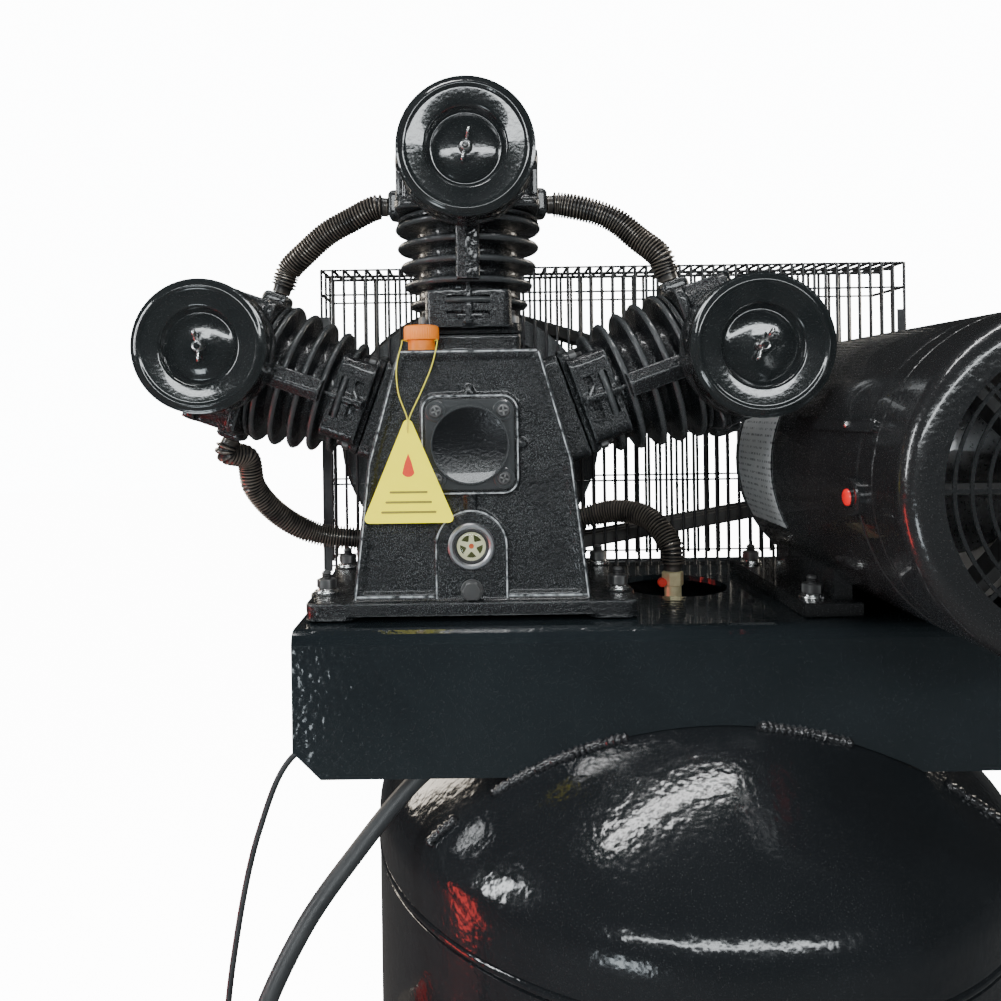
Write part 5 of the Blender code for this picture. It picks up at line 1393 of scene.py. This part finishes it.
wheel_r = (wheel_high.x - wheel_low.x) / 2
pulley_r = (pulley_high.x - pulley_low.x) / 2
half = wheel_w / 2 - 0.0002
rim_r = wheel_r - 0.026
web = 0.0068
profile = grooves(wheel_r) + [
    (rim_r, -half),
    (rim_r - 0.003, -web - 0.004),
    (rim_r - 0.008, -web),
    (0.040, -web),
    (0.036, -web - 0.004),
    (0.034, -half),
    (0.0180, -half),
    (0.0180, half),
    (0.034, half),
    (0.036, web + 0.004),
    (0.040, web),
    (rim_r - 0.008, web),
    (rim_r - 0.003, web + 0.004),
    (rim_r, half),
]
wheel_frame = along_y(pump_x, belt_mid, crank_z)
fit = ("crank", ["flywheel"], "black_paint", 35)
flywheel = turned("flywheel_casting", profile, wheel_frame, 120, wheel_iron, *fit, closed=True)
for i in range(5):
    cutter = bmesh.new()
    angle = math.radians(72 * i + 18)
    spot = wheel_frame @ Matrix.Translation((0.083 * math.cos(angle), 0.083 * math.sin(angle), 0))
    turn(cutter, [(0, 0.02), (0.030, 0.02), (0.030, -0.02), (0, -0.02)], spot, 48)
    carve(flywheel, cutter)
profile = grooves(pulley_r) + [(0.0195, -half), (0.0195, half)]
fit = ("rotor", ["motor_pulley"], "black_casting", 35)
turned("pulley_casting", profile, along_y(motor_x, belt_mid, shaft_z), 72, wheel_iron, *fit, closed=True)

belting = Finish("belt_rubber", Roughness=0.7)
cloth = belting.noise(900.0, 2.0)
belting.set(Base_Color=belting.mix(cloth, (0.012, 0.012, 0.012), (0.05, 0.048, 0.045)))
belting.set(Roughness=0.55 + cloth * 0.25, Normal=belting.bump(cloth, 0.0004, 0.5))
big = Vector((pump_x, crank_z))
small = Vector((motor_x, shaft_z))
span = small - big
lean = math.degrees(math.atan2(span.y, span.x))
spread = math.degrees(math.acos((wheel_r - pulley_r) / span.length))
stations = []
round_wheel = (big, wheel_r, lean + spread, lean + 360 - spread, 90)
round_pulley = (small, pulley_r, lean - spread, lean + spread, 40)
for centre, radius, start, end, count in (round_wheel, round_pulley):
    for i in range(count + 1):
        stations.append((centre, radius, math.radians(start + (end - start) * i / count)))
half_belt = wheel_w / 2 - 0.005
section = [(-half_belt, 0.0043), (half_belt, 0.0043), (half_belt, 0.0013)]
for i in range(3):
    centre_y = (1 - i) * belt_pitch
    section += [(centre_y + 0.0073, 0.0013), (centre_y + 0.0044, -0.0090)]
    section += [(centre_y - 0.0044, -0.0090), (centre_y - 0.0073, 0.0013)]
section.append((-half_belt, 0.0013))
form = bmesh.new()
rings = []
for centre, radius, angle in stations:
    ring = []
    for side, lift in section:
        reach = radius + lift
        spot = (centre.x + reach * math.cos(angle), belt_mid + side, centre.y + reach * math.sin(angle))
        ring.append(form.verts.new(spot))
    rings.append(ring)
for ring, following in zip(rings, rings[1:] + rings[:1]):
    for i in range(len(section)):
        j = (i + 1) % len(section)
        form.faces.new((ring[i], following[i], following[j], ring[j]))
bmesh.ops.recalc_face_normals(form, faces=form.faces)
adopt("drive_belt_band", form, belting.material, stands_for=["drive_belt"], slot="belt_rubber", crease=30)

# ---- Motor -------------------------------------------------------------------------------------
# A rolled steel frame with a cast end shield at the pulley and a pressed fan cowl at the other end,
# on two welded feet. A foil label, a red overload button in a collar and a strap are on its left, and
# the cable box is on the far side.

motor_paint = enamel("motor_enamel", (0.008, 0.0085, 0.009), 0.20, 0.00014, 260.0)
motor_axis = along_y(motor_x, 0, shaft_z)
shell_low, shell_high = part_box("motor_frame")
shell_r = 0.132
shell_near = shell_low.y
shell_far = 0.021
form = bmesh.new()
r = shell_r - 0.0003
profile = [(0.1262, shell_far - 0.0004), (r - 0.0015, shell_far - 0.0004), (r, shell_far - 0.002)]
seam = shell_near + 0.024
profile += [(r, seam + 0.0030), (r - 0.0010, seam + 0.0022), (r - 0.0010, seam - 0.0022), (r, seam - 0.0030)]
profile += [(r, shell_near + 0.002), (r - 0.0015, shell_near + 0.0004), (0.1262, shell_near + 0.0004)]
turn(form, profile, motor_axis, 128, closed=True)
stand = Matrix.Translation((motor_x, 0, deck))
for side in (-1, 1):
    plate(form, (side * 0.0705, side * 0.1245), (-0.1515, 0.0775), (0.0006, 0.0138), stand, 0.0010)
    plate(form, (side * 0.0765, side * 0.0935), (-0.1415, 0.0085), (0.0100, 0.0480), stand)
box_frame = Matrix.Translation((motor_x, 0, shaft_z)) @ Matrix.Rotation(math.radians(55), 4, "Y")
slab(form, rounded(0.0375, 0.0375, 0.004, 3, (0, -0.252)), shell_r - 0.008, shell_r + 0.0028, box_frame)
inward = Matrix.Translation((motor_x, -0.274, shaft_z - 0.011)) @ Matrix.Rotation(math.radians(-90), 4, "Y")
collar = [(0.0077, shell_r + 0.0056), (0.0136, shell_r + 0.0058), (0.0148, shell_r + 0.0046)]
collar += [(0.0148, shell_r - 0.009), (0.0077, shell_r - 0.009)]
turn(form, collar, inward, 40, closed=True)
motor_shell = adopt("motor_shell", form, motor_paint, stands_for=["motor_frame"], crease=35)
cutter = bmesh.new()
well = [(0, shell_r + 0.0070), (0.0076, shell_r + 0.0070), (0.0076, shell_r - 0.012), (0, shell_r - 0.012)]
turn(cutter, well, inward, 40)
carve(motor_shell, cutter)

shield_low, shield_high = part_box("motor_end_shield")
form = bmesh.new()
start = shield_low.y
end = shield_high.y
shield = [
    (0.0235, end - 0.0002), (0.0520, end - 0.0002), (0.0560, end - 0.0040), (0.0585, start + 0.0260),
    (0.0640, start + 0.0200), (0.1150, start + 0.0110), (0.1250, start + 0.0090),
    (0.1314, start + 0.0060), (0.1316, start + 0.0004), (0.1160, start + 0.0004),
    (0.0560, start + 0.0080), (0.0198, start + 0.0104), (0.0198, end - 0.0070), (0.0235, end - 0.0070),
]
turn(form, shield, motor_axis, 112, closed=True)
rib = [(0.056, -0.0028), (0.124, -0.0022), (0.124, 0.0022), (0.056, 0.0028)]
for i in range(8):
    spoke = motor_axis @ Matrix.Rotation(math.radians(45 * i + 22.5), 4, "Z")
    slab(form, rib, start + 0.006, start + 0.0190, spoke)
shield_iron = casting("shield_enamel", 0.7)
adopt("end_shield_casting", form, shield_iron, stands_for=["motor_end_shield"], slot="black_casting")

cowl_low, cowl_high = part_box("motor_fan_cover")
face = cowl_low.y
near_end = cowl_high.y
form = bmesh.new()
r = shell_r - 0.0002
cowl = [(r, near_end - 0.0002), (r, face + 0.0170)]
cowl += [(r - 0.014 + x, face + 0.0142 - y) for x, y in arc(0.0140, 0, 90, 8)]
cowl += [(0.1050, face + 0.0002), (0.1048, face + 0.0016)]
cowl += [(r - 0.0144 + x, face + 0.0142 - y) for x, y in reversed(arc(0.0124, 0, 90, 8))]
cowl += [(r - 0.0016, face + 0.0170), (r - 0.0016, near_end - 0.0002)]
turn(form, cowl, motor_axis, 112, closed=True)
for ring_r in (0.098, 0.086, 0.074, 0.062, 0.050, 0.038, 0.026):
    outer = ring_r + 0.0013
    inner = ring_r - 0.0013
    hoop = [(outer, face + 0.0016), (outer, face + 0.0002), (inner, face + 0.0002), (inner, face + 0.0016)]
    turn(form, hoop, motor_axis, 96, closed=True)
for i in range(4):
    arm = motor_axis @ Matrix.Rotation(math.radians(45 * i), 4, "Z")
    plate(form, (-0.1060, 0.1060), (-0.0016, 0.0016), (face + 0.0006, face + 0.0018), arm)
turn(form, [(0, face), (0.014, face), (0.014, face + 0.0018), (0, face + 0.0018)][::-1], motor_axis, 32)
adopt("fan_cowl", form, motor_paint, stands_for=["motor_fan_cover"], crease=35)
fan_plastic = mottled("fan_plastic", 120.0, (0.010, 0.010, 0.010), (0.03, 0.03, 0.03), Roughness=0.5)
dress("motor_fan", fan_plastic, 0.001)

foil = Finish("label_foil", Coat_Weight=0.3, Roughness=0.35)
spot_xyz = foil.place()
crumple = foil.noise(35.0, 4.0, where=spot_xyz)
level = {"wave_type": "BANDS", "bands_direction": "Z"}
print_rows = foil.node("TexWave", level, out="Fac", Vector=spot_xyz, Scale=48.0, Distortion=0.0)
dashes = foil.noise(1.0, 2.0, where=foil.place(1, 330, 120))
text_mask = foil.ramp(print_rows, (0.70, 0.0), (0.76, 1.0)) * foil.ramp(dashes, (0.50, 0.0), (0.53, 1.0))
bare = foil.mix(crumple, (0.56, 0.58, 0.60), (0.80, 0.81, 0.80))
foil.set(Base_Color=foil.mix(text_mask * 0.75, bare, (0.12, 0.12, 0.13)))
foil.set(Metallic=0.35, Normal=foil.bump(crumple, 0.002, 0.3))
form = bmesh.new()
columns, lines = 8, 18
grid = []
for i in range(columns + 1):
    y = -0.088 + 0.100 * i / columns
    row = []
    for k in range(lines + 1):
        angle = math.radians(208 - 52 * k / lines)
        reach = shell_r + 0.0004
        row.append(form.verts.new((motor_x + reach * math.cos(angle), y, shaft_z + reach * math.sin(angle))))
    grid.append(row)
for i in range(columns):
    for k in range(lines):
        form.faces.new((grid[i][k], grid[i + 1][k], grid[i + 1][k + 1], grid[i][k + 1]))
bmesh.ops.recalc_face_normals(form, faces=form.faces)
bmesh.ops.solidify(form, geom=form.faces[:], thickness=-0.0003)
adopt("motor_label", form, foil.material, slot="zinc_steel", crease=60)

lid_paint = enamel("box_enamel", (0.008, 0.0085, 0.009), 0.16)
form = bmesh.new()
seat_z = shell_r + 0.0033
tub = rounded(0.0405, 0.0415, 0.007, 6, (0, -0.252))
lid = rounded(0.0418, 0.0428, 0.008, 6, (0, -0.252))
slab(form, tub, seat_z + 0.0002, seat_z + 0.0290, box_frame)
slab(form, lid, seat_z + 0.0288, seat_z + 0.0352, box_frame, 0.0020)
adopt("cable_box", form, lid_paint, stands_for=["terminal_box"])
form = bmesh.new()
for sx, sy in corners:
    spot = box_frame @ Matrix.Translation((sx * 0.034, -0.252 + sy * 0.035, seat_z + 0.0350))
    turn(form, [(0, 0.0018), (0.0022, 0.0016), (0.0030, 0.0006), (0.0030, 0.0), (0, 0.0)], spot, 20)
adopt("cable_box_screws", form, zinc.material, slot="zinc_steel")

strap_z = deck + 0.180 - shaft_z
strap_angle = math.degrees(math.asin(strap_z / shell_r))
strap_frame = Matrix.Translation((motor_x, 0, shaft_z))
strap_frame = strap_frame @ Matrix.Rotation(math.radians(strap_angle - 90), 4, "Y")
form = bmesh.new()
strap = rounded(0.0058, 0.0775, 0.0055, 6, (0, -0.2150))
slab(form, strap, shell_r - 0.0012, shell_r + 0.0020, strap_frame, 0.0006)
for x in (-0.0046, 0.0046):
    band(form, [(x, -0.285), (x, -0.142)], 0.0007, shell_r + 0.0010, shell_r + 0.0027, strap_frame)
adopt("motor_side_strap", form, lid_paint)
screw = [(0, 0.0022), (0.0022, 0.0020), (0.0034, 0.0008), (0.0034, 0.0), (0, 0.0)]
spot = strap_frame @ Matrix.Translation((0, -0.246, shell_r + 0.0021))
turned("motor_strap_screw", screw, spot, 24, zinc.material, slot="zinc_steel")

# The button glows faintly in its own colour: painted light.
button_red = Finish("button_red", Roughness=0.25, Coat_Weight=0.6, Emission_Strength=0.25)
button_and_glow_color = button_red.mix(button_red.noise(200.0), (0.70, 0.006, 0.008), (0.90, 0.02, 0.02))
button_red.set(Base_Color=button_and_glow_color, Emission_Color=button_and_glow_color)
button = [(0, shell_r + 0.0093), (0.0045, shell_r + 0.0091), (0.0062, shell_r + 0.0082)]
button += [(0.0069, shell_r + 0.0066), (0.0069, shell_r - 0.0058), (0, shell_r - 0.0058)]
fit = ("reset", ["reset_button"], "red_plastic")
turned("reset_button_cap", button, inward, 40, button_red.material, *fit)

# ---- Works inside ------------------------------------------------------------------------------
# Crankshaft, rods, pistons, bearings, rotor and stator: turned and ground steel, cast alloy and
# varnished laminations, each in the shape it was built.

ground = Finish("ground_steel", Metallic=1.0)
lathe = ground.noise(400.0, 3.0)
ground.set(Base_Color=ground.mix(lathe, (0.42, 0.42, 0.43), (0.62, 0.62, 0.62)), Roughness=0.2 + lathe * 0.2)
alloy_cast = Finish("piston_alloy", Metallic=1.0)
turning = alloy_cast.noise(350.0, 4.0)
alloy_cast.set(Base_Color=alloy_cast.mix(turning, (0.52, 0.52, 0.52), (0.70, 0.70, 0.69)))
alloy_cast.set(Roughness=0.3 + turning * 0.2)
lamination = Finish("laminations", Metallic=0.7)
stack = {"wave_type": "BANDS", "bands_direction": "Y"}
sheets = lamination.node("TexWave", stack, out="Fac", Vector=lamination.place(), Scale=300.0)
lamination.set(Base_Color=lamination.mix(sheets, (0.10, 0.09, 0.08), (0.34, 0.32, 0.30)))
lamination.set(Roughness=0.4 + sheets * 0.2)
for node in ("crankshaft", "front_bearing", "rear_bearing", "motor_rotor"):
    dress(node, ground.material, 0.0005)
for bank in bank_angles:
    dress(f"connecting_rod_{bank}", ground.material, 0.0008)
    dress(f"piston_{bank}", alloy_cast.material, 0.0005)
dress("motor_stator", lamination.material)

# ---- Tank fittings -----------------------------------------------------------------------------
# On the tank's left: a brass manifold with the pressure switch over it, a gauge facing front, a
# pull-ring safety valve behind and a lever ball valve outwards; the drain cock is under the tank.

block_mid = 0.385
form = bmesh.new()
slab(form, rounded(0.0245, 0.0245, 0.003, 4), 0.3603, 0.4097, manifold, 0.0015)
turn(form, [(0, 0.361), (0.0125, 0.361), (0.0125, tank_r + 0.0016), (0, tank_r + 0.0016)], manifold, 32)
nut(form, manifold, 0.024, 0.3440, 0.3600)
adopt("manifold_block", form, brass.material, stands_for=["manifold"], slot="brass", crease=30)

case_plastic = Finish("switch_plastic", Roughness=0.45)
pebble = case_plastic.noise(600.0, 3.0)
case_plastic.set(Base_Color=case_plastic.mix(pebble, (0.014, 0.014, 0.015), (0.03, 0.03, 0.032)))
case_plastic.set(Normal=case_plastic.bump(pebble, 0.0005, 0.5), Roughness=0.38 + pebble * 0.15)
form = bmesh.new()
box_spot = manifold @ Matrix.Translation((0, 0, block_mid)) @ Matrix.Rotation(math.radians(-90), 4, "X")
low_y = 0.0256
slab(form, rounded(0.0440, 0.0390, 0.004, 4), low_y, low_y + 0.018, box_spot, 0.0015)
slab(form, rounded(0.0448, 0.0398, 0.009, 6), low_y + 0.0165, low_y + 0.0892, box_spot, 0.0035)
fit = {"stands_for": ["pressure_switch"], "slot": "black_plastic", "crease": 40}
adopt("switch_case", form, case_plastic.material, **fit)
form = bmesh.new()
for sx in (-1, 1):
    spot = box_spot @ Matrix.Translation((sx * 0.030, 0, low_y + 0.0890))
    turn(form, [(0, 0.0014), (0.0024, 0.0012), (0.0030, 0.0004), (0.0030, 0.0), (0, 0.0)], spot, 20)
adopt("switch_screws", form, zinc.material, slot="zinc_steel")
switch_red = mottled("switch_red", 200.0, (0.55, 0.012, 0.010), (0.75, 0.04, 0.03), Roughness=0.3)
dress("switch_knob", switch_red, 0.0010)

gauge_frame = manifold @ Matrix.Translation((0, 0, block_mid)) @ Matrix.Rotation(math.radians(90), 4, "Y")
dial = 0.0473
form = bmesh.new()
bezel = [
    (0.0248, dial + 0.0205), (0.0262, dial + 0.0236), (0.0286, dial + 0.0238), (0.0306, dial + 0.0205),
    (0.0308, dial + 0.0010), (0.0290, dial + 0.0002), (0.0072, dial - 0.0018), (0.0070, 0.0256),
    (0.0, 0.0256),
]
turn(form, bezel, gauge_frame, 64)
turn(form, [(0, dial + 0.0178), (0.0248, dial + 0.0178)], gauge_frame, 64)
adopt("gauge_case_shell", form, zinc.material, stands_for=["pressure_gauge"], slot="gauge_case")
face_white = mottled("gauge_face", 90.0, (0.82, 0.82, 0.80), (0.90, 0.90, 0.88), Roughness=0.5)
disc = [(0, dial + 0.0186), (0.0247, dial + 0.0186), (0.0247, dial + 0.0180), (0, dial + 0.0180)]
turned("gauge_dial", disc, gauge_frame, 48, face_white, slot="gauge_case")
form = bmesh.new()
for tick in range(21):
    mark = gauge_frame @ Matrix.Rotation(math.radians(-45 + 270 / 20 * tick), 4, "Z")
    length = 0.0045 if tick % 5 == 0 else 0.0025
    line = rounded(length / 2, 0.0003, 0.0001, 1, (0.0225 - length / 2, 0))
    slab(form, line, dial + 0.0186, dial + 0.0188, mark)
hand = gauge_frame @ Matrix.Rotation(math.radians(-225), 4, "Z")
needle = [(-0.004, -0.0008), (0.017, -0.0003), (0.017, 0.0003), (-0.004, 0.0008)]
slab(form, needle, dial + 0.0190, dial + 0.0194, hand)
pin = [(0, dial + 0.0200), (0.0022, dial + 0.0198), (0.0024, dial + 0.0188), (0, dial + 0.0188)]
turn(form, pin, gauge_frame, 20)
adopt("gauge_marks", form, case_plastic.material, slot="black_plastic")

dress("safety_valve", brass.material, 0.0004)
dress("safety_ring", zinc.material, 0.0003)
form = bmesh.new()
end = 0.4103
ball = [(0.0086, end + 0.0636), (0.0138, end + 0.0636), (0.0148, end + 0.0626), (0.0148, end + 0.0480)]
ball += [(0.0175, end + 0.0440), (0.0188, end + 0.0400), (0.0190, end + 0.0310), (0.0188, end + 0.0220)]
ball += [(0.0175, end + 0.0180), (0.0140, end + 0.0140), (0.0120, end + 0.0120), (0.0118, end + 0.0002)]
ball += [(0.0086, end + 0.0002)]
turn(form, ball, manifold, 56, closed=True)
nut(form, manifold, 0.0240, end + 0.0020, end + 0.0130)
lever_frame = manifold @ Matrix.Translation((0, 0, end + 0.031)) @ Matrix.Rotation(math.radians(-90), 4, "X")
turn(form, [(0, 0.0238), (0.0058, 0.0238), (0.0060, 0.0230), (0.0060, 0.012), (0, 0.012)], lever_frame, 24)
adopt("ball_valve_body", form, brass.material, stands_for=["outlet_valve"], slot="brass", crease=25)
dress("outlet_lever", switch_red, 0.0006)
form = bmesh.new()
nut(form, lever_frame, 0.0090, 0.0281, 0.0322)
adopt("lever_nut", form, zinc.material, "valve_lever", slot="zinc_steel", crease=25)
dress("drain_cock", brass.material, 0.0004)

new_low, new_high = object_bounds()
sizes = {"cad": [list(cad_low), list(cad_high)], "visual": [list(new_low), list(new_high)]}
